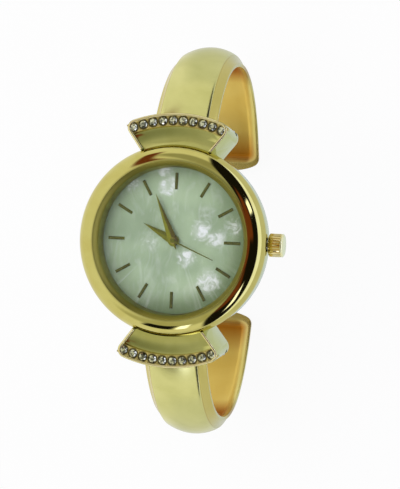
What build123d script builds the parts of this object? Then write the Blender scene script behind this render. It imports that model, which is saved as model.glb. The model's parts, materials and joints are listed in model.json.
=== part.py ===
from build123d import *

import os
from math import asin, atan, cos, degrees, hypot, pi, radians, sin, sqrt

os.makedirs("parts", exist_ok=True)

# Bangle watch in millimetres: dial up (+Z), twelve o'clock along +Y, winding button along +X.
# The origin is the centre of the back cover's outer face, on the axis of the hands.

# Watch head
case_bore_radius = 13.9
case_wall = 2.2
case_neck_wall = 0.6
case_neck_height = 0.6
case_foot_margin = 0.5
case_foot_round_height = 1.9
back_cover_lap = 0.5
back_cover_thickness = 0.7
back_gasket_width = 0.4
back_rim_wall = 0.6
back_rim_height = 1.1
back_clearance = 0.7
bezel_overhang = 0.3
bezel_land = 0.35
bezel_slope_width = 2.55
bezel_crest_width = 0.35
bezel_height = 2.6
bezel_swell = 0.62
bezel_lip_cover = 0.3
crystal_inset = 0.6
crystal_thickness = 1.0
crystal_chamfer = 0.15
gasket_width = 0.3

# Dial and hands
dial_plate_thickness = 0.25
pearl_thickness = 0.2
dial_clearance = 0.12
inner_ring_width = 1.35
inner_ring_foot = 0.35
marker_inset = 2.35
marker_length = 2.85
marker_width = 0.5
marker_height = 0.22
marker_count = 12
hand_thickness = 0.16
hand_spacing = 0.36
glass_gap = 0.32
hour_hand_length = 6.1
hour_hand_tail = 1.5
minute_hand_length = 8.6
minute_hand_tail = 1.7
hand_width = 1.5
hand_shoulder = 0.9
second_hand_length = 7.8
second_hand_width = 0.26
second_hub_radius = 0.42
hour_angle = 297.4
minute_angle = 337.0
second_angle = 113.0

# Motion works under the dial
gear_module = 0.15
cannon_teeth = 10
minute_wheel_teeth = 30
minute_pinion_teeth = 8
hour_wheel_teeth = 32
gear_thickness = 0.22
gear_gap = 0.06
motion_angle = 60.0
running_gap = 0.05
seconds_arbor_radius = 0.16
cannon_wall = 0.3
hour_pipe_wall = 0.22
minute_post_radius = 0.2
tooth_root_share = 0.25
tooth_tip_share = 0.11
tooth_addendum_share = 0.8
tooth_dedendum_share = 1.1

# Movement
movement_radius = 9.8
movement_ring_gap = 0.05
main_plate_thickness = 1.45
motion_recess_depth = 0.78
plate_web = 0.6
train_margin = 1.85
train_cover_height = 1.2
battery_radius = 3.95
battery_height = 2.1
battery_angle = 203.5
battery_edge = 0.3
train_gap = 0.7
clamp_width = 1.6
clamp_thickness = 0.2
clamp_reach = 2.4
board_width = 6.4
board_length = 5.8
board_thickness = 0.3
board_gap = 0.3
board_corner = 0.8
quartz_radius = 0.7
quartz_length = 4.6
core_length = 9.6
core_width = 1.5
core_thickness = 0.4
core_shift = 1.0
winding_radius = 0.95
winding_length = 6.0
screw_head_radius = 0.55
screw_head_height = 0.25
core_neck = 0.56

# Winding button and stem
button_radius = 2.0
button_gap = 0.15
button_flute_length = 2.15
button_cap_length = 0.45
button_cap_chamfer = 0.25
button_flutes = 24
flute_depth = 0.16
button_hollow_depth = 1.5
button_pull = 0.9
tube_wall = 0.4
tube_bore_gap = 0.1
tube_end_gap = 0.35
seal_width = 0.35
seal_length = 0.5
stem_radius = 0.45
stem_drop = 0.3
stem_end_length = 1.3
stem_groove_length = 0.6
stem_groove_radius = 0.24
lever_length = 1.4
lever_width = 1.8
lever_thickness = 0.25
lever_tab_width = 0.8
lever_tab_gap = 0.12

# Lug wings with their stone bars
wing_thickness = 7.8
wing_tilt = 8.3
wing_draft = 2.0
wing_corner_round = 1.4
wing_edge_width = 1.25
flank_slope_share = 0.75
stone_row_reach = 4.5
stone_row_rise = 0.05
stone_gap = 0.365
stone_count = 10
stone_radius = 0.7
stone_table_share = 0.56
stone_crown_height = 0.24
stone_girdle = 0.08
stone_pavilion_depth = 0.5
stone_culet_share = 0.12
stone_facets = 8
seat_gap = 0.05
bar_inner_margin = 0.28
bar_outer_margin = 0.12
bar_end_margin = 0.05
bar_floor = 0.4
bar_drop = 0.1
rim_width = 0.5
bar_rim_width = 0.28
recess_depth = 0.85
recess_hollow = 0.3
prong_radius = 0.15
prong_height = 0.22
prong_offset = 0.72

# Hinges
hinge_inset = 1.7
hinge_drop = 6.45
hinge_pin_radius = 0.5
hinge_pin_recess = 0.45
barrel_wall = 0.6
cheek_wall = 0.6
pocket_side_gap = 0.4
pocket_inner_gap = 1.3
pocket_height = 3.9
spring_thickness = 0.25
spring_width = 6.0
spring_reach = 3.0

# Bangle arms
oval_half_width = 34.9
oval_half_height = 25.5
arm_root_reach = 0.7
arm_root_rise = 3.4
arm_tip_y = 14.4
arm_tip_width = 9.0
arm_thickness = 2.5
arm_side_wall = 0.6
bevel_width = 1.2
bevel_hollow = 0.1
crown_rise = 0.5
pan_rim = 0.55
pan_slant = 0.75
pan_depth = 0.8
pan_root_margin = 6.0
pan_tip_margin = 2.2
arm_sections = 9
tip_bow = 1.5
tip_corner_round = 1.6

overrun = 1.0

# Levels, from the back cover up to the bezel
battery_low_z = back_cover_thickness + back_clearance
movement_back_z = battery_low_z + battery_height
dial_plate_z = movement_back_z + main_plate_thickness
pearl_z = dial_plate_z + dial_plate_thickness
dial_face_z = pearl_z + pearl_thickness
hour_hand_z = dial_face_z + marker_height + hand_spacing / 2
minute_hand_z = hour_hand_z + hand_spacing
second_hand_z = minute_hand_z + hand_spacing
neck_top_z = second_hand_z + hand_thickness + glass_gap
case_shoulder_z = neck_top_z - case_neck_height
lip_z = neck_top_z + crystal_thickness
crest_z = case_shoulder_z + bezel_height
ring_back_z = back_cover_thickness + back_rim_height
button_z = movement_back_z - stem_drop

# Radii of the head, from the bore outwards and inwards
case_radius = case_bore_radius + case_wall
case_neck_radius = case_bore_radius + case_neck_wall
back_cover_radius = case_bore_radius + back_cover_lap
back_rim_radius = case_bore_radius - back_gasket_width
case_foot_radius = back_cover_radius + case_foot_margin
bezel_radius = case_radius + bezel_overhang
bezel_crest_radius = bezel_radius - bezel_slope_width
crystal_radius = case_bore_radius - crystal_inset
bezel_lip_radius = crystal_radius - bezel_lip_cover
inner_ring_radius = case_bore_radius - inner_ring_width
inner_ring_top_radius = bezel_lip_radius + running_gap
marker_ring_radius = inner_ring_radius - marker_inset

# Radii round the stem
tube_bore_radius = stem_radius + tube_bore_gap
tube_radius = tube_bore_radius + tube_wall
button_hollow_radius = tube_radius + seal_width
button_start_x = case_radius + button_gap

# Places in the movement: the battery against the ring, then the train, the board and the coil
ledge_radius = movement_radius - plate_web
battery_distance = ledge_radius - battery_radius - train_gap / 4
battery_x = battery_distance * cos(radians(battery_angle))
battery_y = battery_distance * sin(radians(battery_angle))
train_cover_radius = ledge_radius - battery_radius - train_margin
train_distance = battery_radius + train_gap + train_cover_radius
train_cover_x = battery_x - train_distance * cos(radians(battery_angle))
train_cover_y = battery_y - train_distance * sin(radians(battery_angle))
board_x = battery_x + battery_radius + train_gap + board_gap + board_width / 2
board_y = train_cover_y - train_cover_radius - board_gap - board_length / 2
core_x = -core_shift
core_y = sqrt((ledge_radius - dial_clearance) ** 2 - (core_shift + core_length / 2) ** 2) - core_width / 2

# Radii of the concentric arbors
cannon_bore = seconds_arbor_radius + running_gap
cannon_radius = cannon_bore + cannon_wall
hour_bore = cannon_radius + running_gap
hour_pipe_radius = hour_bore + hour_pipe_wall
dial_hole_radius = hour_pipe_radius + dial_clearance

# The setting lever meets the movement ring when the button is pulled right out
groove_middle_x = movement_radius - button_pull - lever_length / 2
stem_inner_x = groove_middle_x - stem_groove_length / 2 - stem_end_length

# Row of stones and the bar that holds it
stone_ring_radius = case_radius + stone_row_reach
stone_ring_z = case_shoulder_z + stone_row_rise
stone_pitch_angle = degrees((2 * stone_radius + stone_gap) / stone_ring_radius)
seat_depth = stone_pavilion_depth + 2 * seat_gap
bar_thickness = seat_depth + bar_floor
bar_inner_radius = stone_ring_radius - stone_radius - bar_inner_margin
bar_outer_radius = stone_ring_radius + stone_radius + bar_outer_margin
wing_radius = stone_ring_radius + wing_edge_width
wing_inner_y = case_neck_radius

# Hinges and arms
hinge_y = stone_ring_radius - hinge_inset
hinge_z = stone_ring_z - hinge_drop
barrel_radius = hinge_pin_radius + running_gap + barrel_wall
pocket_inner_y = hinge_y - barrel_radius - pocket_inner_gap
pocket_roof_z = hinge_z + pocket_height
arm_root_y = hinge_y + arm_root_reach
root_turn = asin(arm_root_y / oval_half_width)
tip_turn = pi - asin(arm_tip_y / oval_half_width)
oval_centre_z = hinge_z + arm_root_rise - oval_half_height * cos(root_turn)


# Case middle and lug wings

# The wing's own plane leans outward: its origin is the middle of the stone row.
wing_normal = (0, sin(radians(wing_tilt)), cos(radians(wing_tilt)))
wing_plane = Plane(origin=(0, stone_ring_radius, stone_ring_z), x_dir=(1, 0, 0), z_dir=wing_normal)


def flank_x(y):
    """Half width of a wing at a distance y from the axis of the hands."""
    half_row = radians(stone_pitch_angle * (stone_count - 1) / 2)
    side = (stone_radius + seat_gap + bar_end_margin + bar_rim_width) * hypot(1, flank_slope_share)
    last_x = stone_ring_radius * sin(half_row)
    last_y = stone_ring_radius * cos(half_row)
    return last_x + side + flank_slope_share * (y - last_y)


arm_root_width = 2 * (flank_x(pocket_inner_y) - cheek_wall - pocket_side_gap)


def wing_trapezoid(inset):
    """Straight-sided outline of a wing in its own plane, with its flanks moved in by inset."""
    side = inset * hypot(1, flank_slope_share)
    near, far = wing_inner_y, wing_radius + overrun
    return [
        (-flank_x(near) + side, near - stone_ring_radius),
        (flank_x(near) - side, near - stone_ring_radius),
        (flank_x(far) - side, far - stone_ring_radius),
        (-flank_x(far) + side, far - stone_ring_radius),
    ]


with BuildPart() as wing_body:
    with BuildSketch(wing_plane) as wing_outline:
        with Locations((0, -stone_ring_radius)):
            Circle(wing_radius)
        Polygon(*wing_trapezoid(0), align=None, mode=Mode.INTERSECT)
        fillet(wing_outline.vertices().sort_by(Axis.Y)[-2:], radius=wing_corner_round)
    extrude(amount=-wing_thickness, taper=-wing_draft)
    # The outer arc face stays in line with the row of stones
    with BuildSketch(wing_plane.offset(-wing_thickness)):
        with Locations((0, -stone_ring_radius)):
            Circle(wing_radius)
    extrude(amount=wing_thickness, mode=Mode.INTERSECT)

# The plain band between bezel and stones is a shallow cove between two raised rims
wing_axis_point = wing_plane.from_local_coords((0, -stone_ring_radius, 0))
cove_plane = Plane(origin=wing_axis_point, x_dir=wing_plane.y_dir, z_dir=(1, 0, 0))
with BuildPart() as wing_recess:
    with BuildSketch(cove_plane):
        with BuildLine():
            Polyline(
                (case_neck_radius, -recess_depth),
                (case_neck_radius, overrun),
                (bar_inner_radius, overrun),
                (bar_inner_radius, -recess_depth),
            )
            SagittaArc((bar_inner_radius, -recess_depth), (case_neck_radius, -recess_depth), recess_hollow)
        make_face()
    revolve(axis=Axis(wing_axis_point, wing_normal))
    with BuildSketch(wing_plane.offset(overrun)):
        Polygon(*wing_trapezoid(rim_width), align=None)
    extrude(amount=-(overrun + wing_thickness), mode=Mode.INTERSECT)

# The stone bar lies in a seat of its own outline
with BuildPart() as bar_blank:
    with BuildSketch(wing_plane.offset(-bar_drop)):
        with Locations((0, -stone_ring_radius)):
            Circle(bar_outer_radius)
            Circle(bar_inner_radius, mode=Mode.SUBTRACT)
        Polygon(*wing_trapezoid(bar_rim_width), align=None, mode=Mode.INTERSECT)
    extrude(amount=-bar_thickness)

with BuildPart() as bar_seat:
    add(bar_blank.part)
    extrude(bar_blank.faces().sort_by(Axis((0, 0, 0), wing_normal))[-1], amount=bar_drop)

# A cavity open at the back and outside takes the arm's barrel and the spring
pocket_half_width = arm_root_width / 2 + pocket_side_gap
with BuildPart() as hinge_pocket:
    with BuildSketch(Plane.YZ):
        with BuildLine():
            Polyline(
                (pocket_inner_y, -wing_thickness),
                (pocket_inner_y, pocket_roof_z),
                (wing_radius + overrun, pocket_roof_z),
                (wing_radius + overrun, -wing_thickness),
                close=True,
            )
        make_face()
    extrude(amount=pocket_half_width, both=True)

with BuildPart() as case_middle:
    with BuildSketch(Plane.XZ):
        with BuildLine():
            Line((case_bore_radius, back_cover_thickness), (case_foot_radius, back_cover_thickness))
            foot_top = back_cover_thickness + case_foot_round_height
            RadiusArc(
                (case_foot_radius, back_cover_thickness),
                (case_radius, foot_top),
                -1.5 * case_foot_round_height,
            )
            Polyline(
                (case_radius, foot_top),
                (case_radius, case_shoulder_z),
                (case_neck_radius, case_shoulder_z),
                (case_neck_radius, neck_top_z),
                (case_bore_radius, neck_top_z),
                (case_bore_radius, back_cover_thickness),
            )
        make_face()
    revolve(axis=Axis.Z)
    add(wing_body.part)
    mirror(wing_body.part, about=Plane.XZ)
    for cavity in (wing_recess.part, bar_seat.part, hinge_pocket.part):
        add(cavity, mode=Mode.SUBTRACT)
        mirror(cavity, about=Plane.XZ, mode=Mode.SUBTRACT)
    # The wings end at the bore and round the back cover
    with BuildSketch(Plane.XY.offset(back_cover_thickness)):
        Circle(case_bore_radius)
    extrude(amount=neck_top_z, mode=Mode.SUBTRACT)
    with BuildSketch(Plane.XY.offset(back_cover_thickness)):
        Circle(back_cover_radius + running_gap)
    extrude(amount=-wing_thickness, mode=Mode.SUBTRACT)
    # Hinge pin holes through both cheeks of each wing
    with BuildSketch(Plane.YZ):
        with Locations((hinge_y, hinge_z), (-hinge_y, hinge_z)):
            Circle(hinge_pin_radius)
    extrude(amount=wing_radius, both=True, mode=Mode.SUBTRACT)
    # Room above the shoulder for the bezel
    with BuildSketch(Plane.XY.offset(case_shoulder_z)):
        Circle(bezel_radius + running_gap)
        Circle(case_neck_radius, mode=Mode.SUBTRACT)
    extrude(amount=bezel_height, mode=Mode.SUBTRACT)
    # Hole of the button tube
    with BuildSketch(Plane.YZ.offset(case_bore_radius - overrun)):
        with Locations((0, button_z)):
            Circle(tube_radius)
    extrude(amount=case_radius, mode=Mode.SUBTRACT)
case_middle.part.label = "case_middle"
export_step(case_middle.part, "parts/case_middle.step")

# Stone bar: seats in a row, with pointed prongs between them on both sides
stone_places = [
    (
        stone_ring_radius * sin(radians(stone_pitch_angle * (k - (stone_count - 1) / 2))),
        stone_ring_radius * (cos(radians(stone_pitch_angle * (k - (stone_count - 1) / 2))) - 1),
    )
    for k in range(stone_count)
]
prong_places = [
    (
        (stone_ring_radius + side * prong_offset) * sin(radians(stone_pitch_angle * (k - stone_count / 2))),
        (stone_ring_radius + side * prong_offset) * cos(radians(stone_pitch_angle * (k - stone_count / 2)))
        - stone_ring_radius,
    )
    for k in range(1, stone_count)
    for side in (-1, 1)
]
with BuildPart() as upper_stone_bar:
    add(bar_blank.part)
    with BuildSketch(wing_plane.offset(-bar_drop)):
        with Locations(*stone_places):
            Circle(stone_radius + seat_gap)
    extrude(amount=-seat_depth, mode=Mode.SUBTRACT)
    with BuildSketch(wing_plane.offset(-bar_drop - seat_gap)):
        with Locations(*prong_places):
            RegularPolygon(prong_radius, 4)
    extrude(amount=prong_height, taper=18)
upper_stone_bar.part.label = "upper_stone_bar"
export_step(upper_stone_bar.part, "parts/upper_stone_bar.step")

with BuildPart() as lower_stone_bar:
    mirror(upper_stone_bar.part, about=Plane.XZ)
lower_stone_bar.part.label = "lower_stone_bar"
export_step(lower_stone_bar.part, "parts/lower_stone_bar.step")

# Round cut stones: table, crown, girdle and pavilion
girdle_plane = wing_plane.offset(-bar_drop)
with BuildPart() as upper_stones:
    with BuildSketch(girdle_plane):
        with Locations(*stone_places):
            RegularPolygon(stone_radius, stone_facets)
    extrude(amount=-stone_girdle)
    crown_taper = degrees(atan(stone_radius * (1 - stone_table_share) / stone_crown_height))
    with BuildSketch(girdle_plane):
        with Locations(*stone_places):
            RegularPolygon(stone_radius, stone_facets)
    extrude(amount=stone_crown_height, taper=crown_taper)
    pavilion_taper = degrees(atan(stone_radius * (1 - stone_culet_share) / stone_pavilion_depth))
    with BuildSketch(girdle_plane.offset(-stone_girdle)):
        with Locations(*stone_places):
            RegularPolygon(stone_radius, stone_facets)
    extrude(amount=-(stone_pavilion_depth - stone_girdle), taper=pavilion_taper)
upper_stones.part.label = "upper_stones"
export_step(upper_stones.part, "parts/upper_stones.step")

with BuildPart() as lower_stones:
    mirror(upper_stones.part, about=Plane.XZ)
lower_stones.part.label = "lower_stones"
export_step(lower_stones.part, "parts/lower_stones.step")


# Bezel, crystal and dial

with BuildPart() as bezel:
    with BuildSketch(Plane.XZ):
        with BuildLine():
            land_z = case_shoulder_z + bezel_land
            crest_outer = bezel_crest_radius
            crest_inner = bezel_crest_radius - bezel_crest_width
            chord = hypot(bezel_radius - crest_outer, crest_z - land_z)
            Line((case_neck_radius, case_shoulder_z), (bezel_radius, case_shoulder_z))
            Line((bezel_radius, case_shoulder_z), (bezel_radius, land_z))
            SagittaArc((bezel_radius, land_z), (crest_outer, crest_z), -bezel_swell)
            SagittaArc((crest_outer, crest_z), (crest_inner, crest_z - bezel_crest_width / 3), -bezel_crest_width / 4)
            Polyline(
                (crest_inner, crest_z - bezel_crest_width / 3),
                (bezel_lip_radius, lip_z),
                (crystal_radius + gasket_width, lip_z),
                (crystal_radius + gasket_width, neck_top_z),
                (case_neck_radius, neck_top_z),
                (case_neck_radius, case_shoulder_z),
            )
        make_face()
    revolve(axis=Axis.Z)
bezel.part.label = "bezel"
export_step(bezel.part, "parts/bezel.step")

with BuildPart() as crystal:
    with BuildSketch(Plane.XY.offset(neck_top_z)):
        Circle(crystal_radius)
    extrude(amount=crystal_thickness)
    chamfer(crystal.faces().sort_by(Axis.Z)[0].edges(), length=crystal_chamfer)
crystal.part.label = "crystal"
export_step(crystal.part, "parts/crystal.step")

with BuildPart() as crystal_gasket:
    with BuildSketch(Plane.XY.offset(neck_top_z)):
        Circle(crystal_radius + gasket_width)
        Circle(crystal_radius, mode=Mode.SUBTRACT)
    extrude(amount=crystal_thickness)
crystal_gasket.part.label = "crystal_gasket"
export_step(crystal_gasket.part, "parts/crystal_gasket.step")

with BuildPart() as inner_ring:
    with BuildSketch(Plane.XZ):
        with BuildLine():
            Polyline(
                (inner_ring_radius, dial_face_z),
                (case_bore_radius, dial_face_z),
                (case_bore_radius, neck_top_z),
                (inner_ring_top_radius, neck_top_z),
                (inner_ring_radius, dial_face_z + inner_ring_foot),
                close=True,
            )
        make_face()
    revolve(axis=Axis.Z)
inner_ring.part.label = "inner_ring"
export_step(inner_ring.part, "parts/inner_ring.step")

motion_distance = gear_module * (cannon_teeth + minute_wheel_teeth) / 2
dial_radius = case_bore_radius - dial_clearance
foot_ring_radius = (movement_radius + case_bore_radius) / 2
with BuildPart() as dial_plate:
    with BuildSketch(Plane.XY.offset(dial_plate_z)):
        Circle(dial_radius)
        Circle(dial_hole_radius, mode=Mode.SUBTRACT)
    extrude(amount=dial_plate_thickness)
    # Two feet hold the dial in the movement ring
    with BuildSketch(Plane.XY.offset(dial_plate_z)):
        with Locations((-foot_ring_radius, 0), (0, foot_ring_radius)):
            Circle(minute_post_radius)
    extrude(amount=-main_plate_thickness)
dial_plate.part.label = "dial_plate"
export_step(dial_plate.part, "parts/dial_plate.step")

with BuildPart() as pearl_disc:
    with BuildSketch(Plane.XY.offset(pearl_z)):
        Circle(dial_radius)
        Circle(dial_hole_radius, mode=Mode.SUBTRACT)
    extrude(amount=pearl_thickness)
pearl_disc.part.label = "pearl_disc"
export_step(pearl_disc.part, "parts/pearl_disc.step")

with BuildPart() as hour_markers:
    with BuildSketch(Plane.XY.offset(dial_face_z)):
        with PolarLocations(marker_ring_radius, marker_count):
            Rectangle(marker_length, marker_width)
    extrude(amount=marker_height)
    top_edges = hour_markers.faces().group_by(Axis.Z)[-1].edges()
    chamfer(top_edges, length=marker_width / 5)
hour_markers.part.label = "hour_markers"
export_step(hour_markers.part, "parts/hour_markers.step")


# Hands, with a ridge along each pointed one


def pointing_plane(angle, height):
    """Plane at a height whose local Y points along a hand that reads angle on the dial."""
    across = (cos(radians(angle)), -sin(radians(angle)), 0)
    return Plane(origin=(0, 0, height), x_dir=across, z_dir=(0, 0, 1))


def pointed_hand(angle, height, length, tail, bore):
    """Two-facet hand: a long kite with a ridge, bored for its pipe."""
    plane = pointing_plane(angle, height)
    with BuildPart() as hand:
        with BuildSketch(plane):
            Polygon(
                (0, length),
                (hand_width / 2, hand_shoulder),
                (0, -tail),
                (-hand_width / 2, hand_shoulder),
                align=None,
            )
            Circle(bore + hour_pipe_wall)
        extrude(amount=hand_thickness)
        # Roof-shaped section, highest along the middle
        with BuildSketch(Plane(origin=plane.origin, x_dir=plane.x_dir, z_dir=-plane.y_dir)):
            Polygon(
                (-hand_width, -overrun),
                (-hand_width, hand_thickness / 4),
                (0, hand_thickness),
                (hand_width, hand_thickness / 4),
                (hand_width, -overrun),
                align=None,
            )
        extrude(amount=length + tail, both=True, mode=Mode.INTERSECT)
        with BuildSketch(plane):
            Circle(bore)
        extrude(amount=hand_thickness, mode=Mode.SUBTRACT)
    return hand.part


with BuildPart() as hour_hand:
    add(pointed_hand(hour_angle, hour_hand_z, hour_hand_length, hour_hand_tail, hour_pipe_radius))
hour_hand.part.label = "hour_hand"
export_step(hour_hand.part, "parts/hour_hand.step")

with BuildPart() as minute_hand:
    add(pointed_hand(minute_angle, minute_hand_z, minute_hand_length, minute_hand_tail, cannon_radius))
minute_hand.part.label = "minute_hand"
export_step(minute_hand.part, "parts/minute_hand.step")

with BuildPart() as second_hand:
    with BuildSketch(pointing_plane(second_angle, second_hand_z)):
        Polygon(
            (second_hand_width / 4, second_hand_length),
            (second_hand_width / 2, 0),
            (-second_hand_width / 2, 0),
            (-second_hand_width / 4, second_hand_length),
            align=None,
        )
        Circle(second_hub_radius)
    extrude(amount=hand_thickness)
second_hand.part.label = "second_hand"
export_step(second_hand.part, "parts/second_hand.step")


# Motion works: cannon pinion, minute wheel and hour wheel


def wheel_points(teeth, turn):
    """Outline of a toothed wheel with straight-sided teeth, one tooth centred on turn degrees."""
    pitch_radius = gear_module * teeth / 2
    root = pitch_radius - gear_module * tooth_dedendum_share
    tip = pitch_radius + gear_module * tooth_addendum_share
    corners = [
        (root, -tooth_root_share),
        (tip, -tooth_tip_share),
        (tip, tooth_tip_share),
        (root, tooth_root_share),
    ]
    points = []
    for k in range(teeth):
        for radius, share in corners:
            a = radians(turn) + 2 * pi * (k + share) / teeth
            points.append((radius * cos(a), radius * sin(a)))
    return points


lower_gear_z = dial_plate_z - motion_recess_depth + gear_gap
upper_gear_z = lower_gear_z + gear_thickness + gear_gap
minute_wheel_x = motion_distance * cos(radians(motion_angle))
minute_wheel_y = motion_distance * sin(radians(motion_angle))
seconds_foot_z = movement_back_z

with BuildPart() as cannon_pinion:
    with BuildSketch(Plane.XY.offset(lower_gear_z)):
        Polygon(*wheel_points(cannon_teeth, motion_angle + 180 / cannon_teeth), align=None)
    extrude(amount=gear_thickness)
    with BuildSketch(Plane.XY.offset(lower_gear_z)):
        Circle(cannon_radius)
    extrude(amount=minute_hand_z + hand_thickness - lower_gear_z)
    with BuildSketch(Plane.XY.offset(lower_gear_z)):
        Circle(cannon_bore)
    extrude(amount=second_hand_z, mode=Mode.SUBTRACT)
cannon_pinion.part.label = "cannon_pinion"
export_step(cannon_pinion.part, "parts/cannon_pinion.step")

with BuildPart() as minute_wheel:
    with BuildSketch(Plane.XY.offset(lower_gear_z)):
        with Locations((minute_wheel_x, minute_wheel_y)):
            Polygon(*wheel_points(minute_wheel_teeth, motion_angle + 180), align=None)
    extrude(amount=gear_thickness)
    with BuildSketch(Plane.XY.offset(lower_gear_z)):
        with Locations((minute_wheel_x, minute_wheel_y)):
            Polygon(*wheel_points(minute_pinion_teeth, motion_angle + 180), align=None)
    extrude(amount=2 * gear_thickness + gear_gap)
    with BuildSketch(Plane.XY.offset(lower_gear_z)):
        with Locations((minute_wheel_x, minute_wheel_y)):
            Circle(minute_post_radius + running_gap)
    extrude(amount=dial_plate_z, mode=Mode.SUBTRACT)
minute_wheel.part.label = "minute_wheel"
export_step(minute_wheel.part, "parts/minute_wheel.step")

with BuildPart() as hour_wheel:
    with BuildSketch(Plane.XY.offset(upper_gear_z)):
        Polygon(*wheel_points(hour_wheel_teeth, motion_angle + 180 / hour_wheel_teeth), align=None)
    extrude(amount=gear_thickness)
    with BuildSketch(Plane.XY.offset(upper_gear_z)):
        Circle(hour_pipe_radius)
    extrude(amount=hour_hand_z + hand_thickness - upper_gear_z)
    with BuildSketch(Plane.XY.offset(upper_gear_z)):
        Circle(hour_bore)
    extrude(amount=minute_hand_z, mode=Mode.SUBTRACT)
hour_wheel.part.label = "hour_wheel"
export_step(hour_wheel.part, "parts/hour_wheel.step")

with BuildPart() as seconds_arbor:
    with BuildSketch(Plane.XY.offset(seconds_foot_z)):
        Circle(seconds_arbor_radius)
    extrude(amount=second_hand_z - seconds_foot_z)
seconds_arbor.part.label = "seconds_arbor"
export_step(seconds_arbor.part, "parts/seconds_arbor.step")


# Movement

motion_recess_z = dial_plate_z - motion_recess_depth
wheel_reach = gear_module * (minute_wheel_teeth / 2 + 1) + dial_clearance
hour_reach = gear_module * (hour_wheel_teeth / 2 + 1) + dial_clearance
stem_channel_radius = stem_radius + dial_clearance
with BuildPart() as main_plate:
    with BuildSketch(Plane.XY.offset(movement_back_z)):
        Circle(movement_radius)
    extrude(amount=main_plate_thickness)
    # Recess of the motion works, with the minute wheel's post
    with BuildSketch(Plane.XY.offset(motion_recess_z)):
        Circle(hour_reach)
        with Locations((minute_wheel_x, minute_wheel_y)):
            Circle(wheel_reach)
    extrude(amount=motion_recess_depth, mode=Mode.SUBTRACT)
    with BuildSketch(Plane.XY.offset(motion_recess_z)):
        with Locations((minute_wheel_x, minute_wheel_y)):
            Circle(minute_post_radius)
    extrude(amount=motion_recess_depth - gear_gap)
    with BuildSketch(Plane.XY.offset(movement_back_z)):
        Circle(seconds_arbor_radius + running_gap)
    extrude(amount=main_plate_thickness, mode=Mode.SUBTRACT)
    # Channel of the stem
    with BuildSketch(Plane.YZ.offset(stem_inner_x - dial_clearance)):
        with Locations((0, button_z)):
            Circle(stem_channel_radius)
    extrude(amount=movement_radius, mode=Mode.SUBTRACT)
main_plate.part.label = "main_plate"
export_step(main_plate.part, "parts/main_plate.step")

with BuildPart() as movement_ring:
    with BuildSketch(Plane.XY.offset(ring_back_z)):
        Circle(case_bore_radius - movement_ring_gap)
        Circle(movement_radius + movement_ring_gap, mode=Mode.SUBTRACT)
    extrude(amount=dial_plate_z - ring_back_z)
    with BuildSketch(Plane.YZ.offset(movement_radius - overrun)):
        with Locations((0, button_z)):
            Circle(tube_radius)
    extrude(amount=case_bore_radius, mode=Mode.SUBTRACT)
    with BuildSketch(Plane.XY.offset(dial_plate_z - main_plate_thickness - dial_clearance)):
        with Locations((-foot_ring_radius, 0), (0, foot_ring_radius)):
            Circle(minute_post_radius)
    extrude(amount=main_plate_thickness + overrun, mode=Mode.SUBTRACT)
    # Ledge that carries the main plate
    with BuildSketch(Plane.XY.offset(ring_back_z)):
        Circle(movement_radius + movement_ring_gap)
        Circle(ledge_radius, mode=Mode.SUBTRACT)
        with Locations((movement_radius, 0)):
            Rectangle(2 * lever_length, 2 * lever_width, mode=Mode.SUBTRACT)
    extrude(amount=movement_back_z - ring_back_z)
movement_ring.part.label = "movement_ring"
export_step(movement_ring.part, "parts/movement_ring.step")

with BuildPart() as train_cover:
    with BuildSketch(Plane.XY.offset(movement_back_z - train_cover_height)):
        with Locations((train_cover_x, train_cover_y)):
            Circle(train_cover_radius)
    extrude(amount=train_cover_height)
    fillet(train_cover.edges().sort_by(Axis.Z)[0], radius=board_thickness)
train_cover.part.label = "train_cover"
export_step(train_cover.part, "parts/train_cover.step")

with BuildPart() as circuit_board:
    with BuildSketch(Plane.XY.offset(movement_back_z - board_thickness)) as board_outline:
        with Locations((board_x, board_y)):
            Rectangle(board_width, board_length)
        fillet(board_outline.vertices(), radius=board_corner)
        Circle(ledge_radius - dial_clearance, mode=Mode.INTERSECT)
    extrude(amount=board_thickness)
circuit_board.part.label = "circuit_board"
export_step(circuit_board.part, "parts/circuit_board.step")

with BuildPart() as quartz_can:
    with BuildSketch(Plane.YZ.offset(board_x - quartz_length / 2)):
        with Locations((board_y, movement_back_z - board_thickness - quartz_radius)):
            Circle(quartz_radius)
    extrude(amount=quartz_length)
quartz_can.part.label = "quartz_can"
export_step(quartz_can.part, "parts/quartz_can.step")

core_z = movement_back_z - winding_radius - core_thickness / 2
with BuildPart() as coil_core:
    with BuildSketch(Plane.XY.offset(core_z)):
        with Locations((core_x, core_y)):
            Rectangle(core_length, core_width)
            Rectangle(winding_length, core_neck, mode=Mode.ADD)
        with Locations((core_x, core_y + core_width / 2), (core_x, core_y - core_width / 2)):
            Rectangle(winding_length, core_width - core_neck, mode=Mode.SUBTRACT)
    extrude(amount=core_thickness)
    # Feet that stand on the main plate
    with BuildSketch(Plane.XY.offset(core_z + core_thickness)):
        foot_x = (winding_length + core_length) / 4
        with Locations((core_x - foot_x, core_y), (core_x + foot_x, core_y)):
            Circle(screw_head_radius)
    extrude(amount=movement_back_z - core_z - core_thickness)
coil_core.part.label = "coil_core"
export_step(coil_core.part, "parts/coil_core.step")

with BuildPart() as coil_winding:
    with BuildSketch(Plane.YZ.offset(core_x - winding_length / 2)):
        with Locations((core_y, core_z + core_thickness / 2)):
            Circle(winding_radius)
            Rectangle(core_neck, core_thickness, mode=Mode.SUBTRACT)
    extrude(amount=winding_length)
coil_winding.part.label = "coil_winding"
export_step(coil_winding.part, "parts/coil_winding.step")

with BuildPart() as battery:
    with BuildSketch(Plane.XY.offset(battery_low_z)):
        with Locations((battery_x, battery_y)):
            Circle(battery_radius)
    extrude(amount=battery_height)
    chamfer(battery.edges().sort_by(Axis.Z)[-1], length=battery_edge)
battery.part.label = "battery"
export_step(battery.part, "parts/battery.step")

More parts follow.
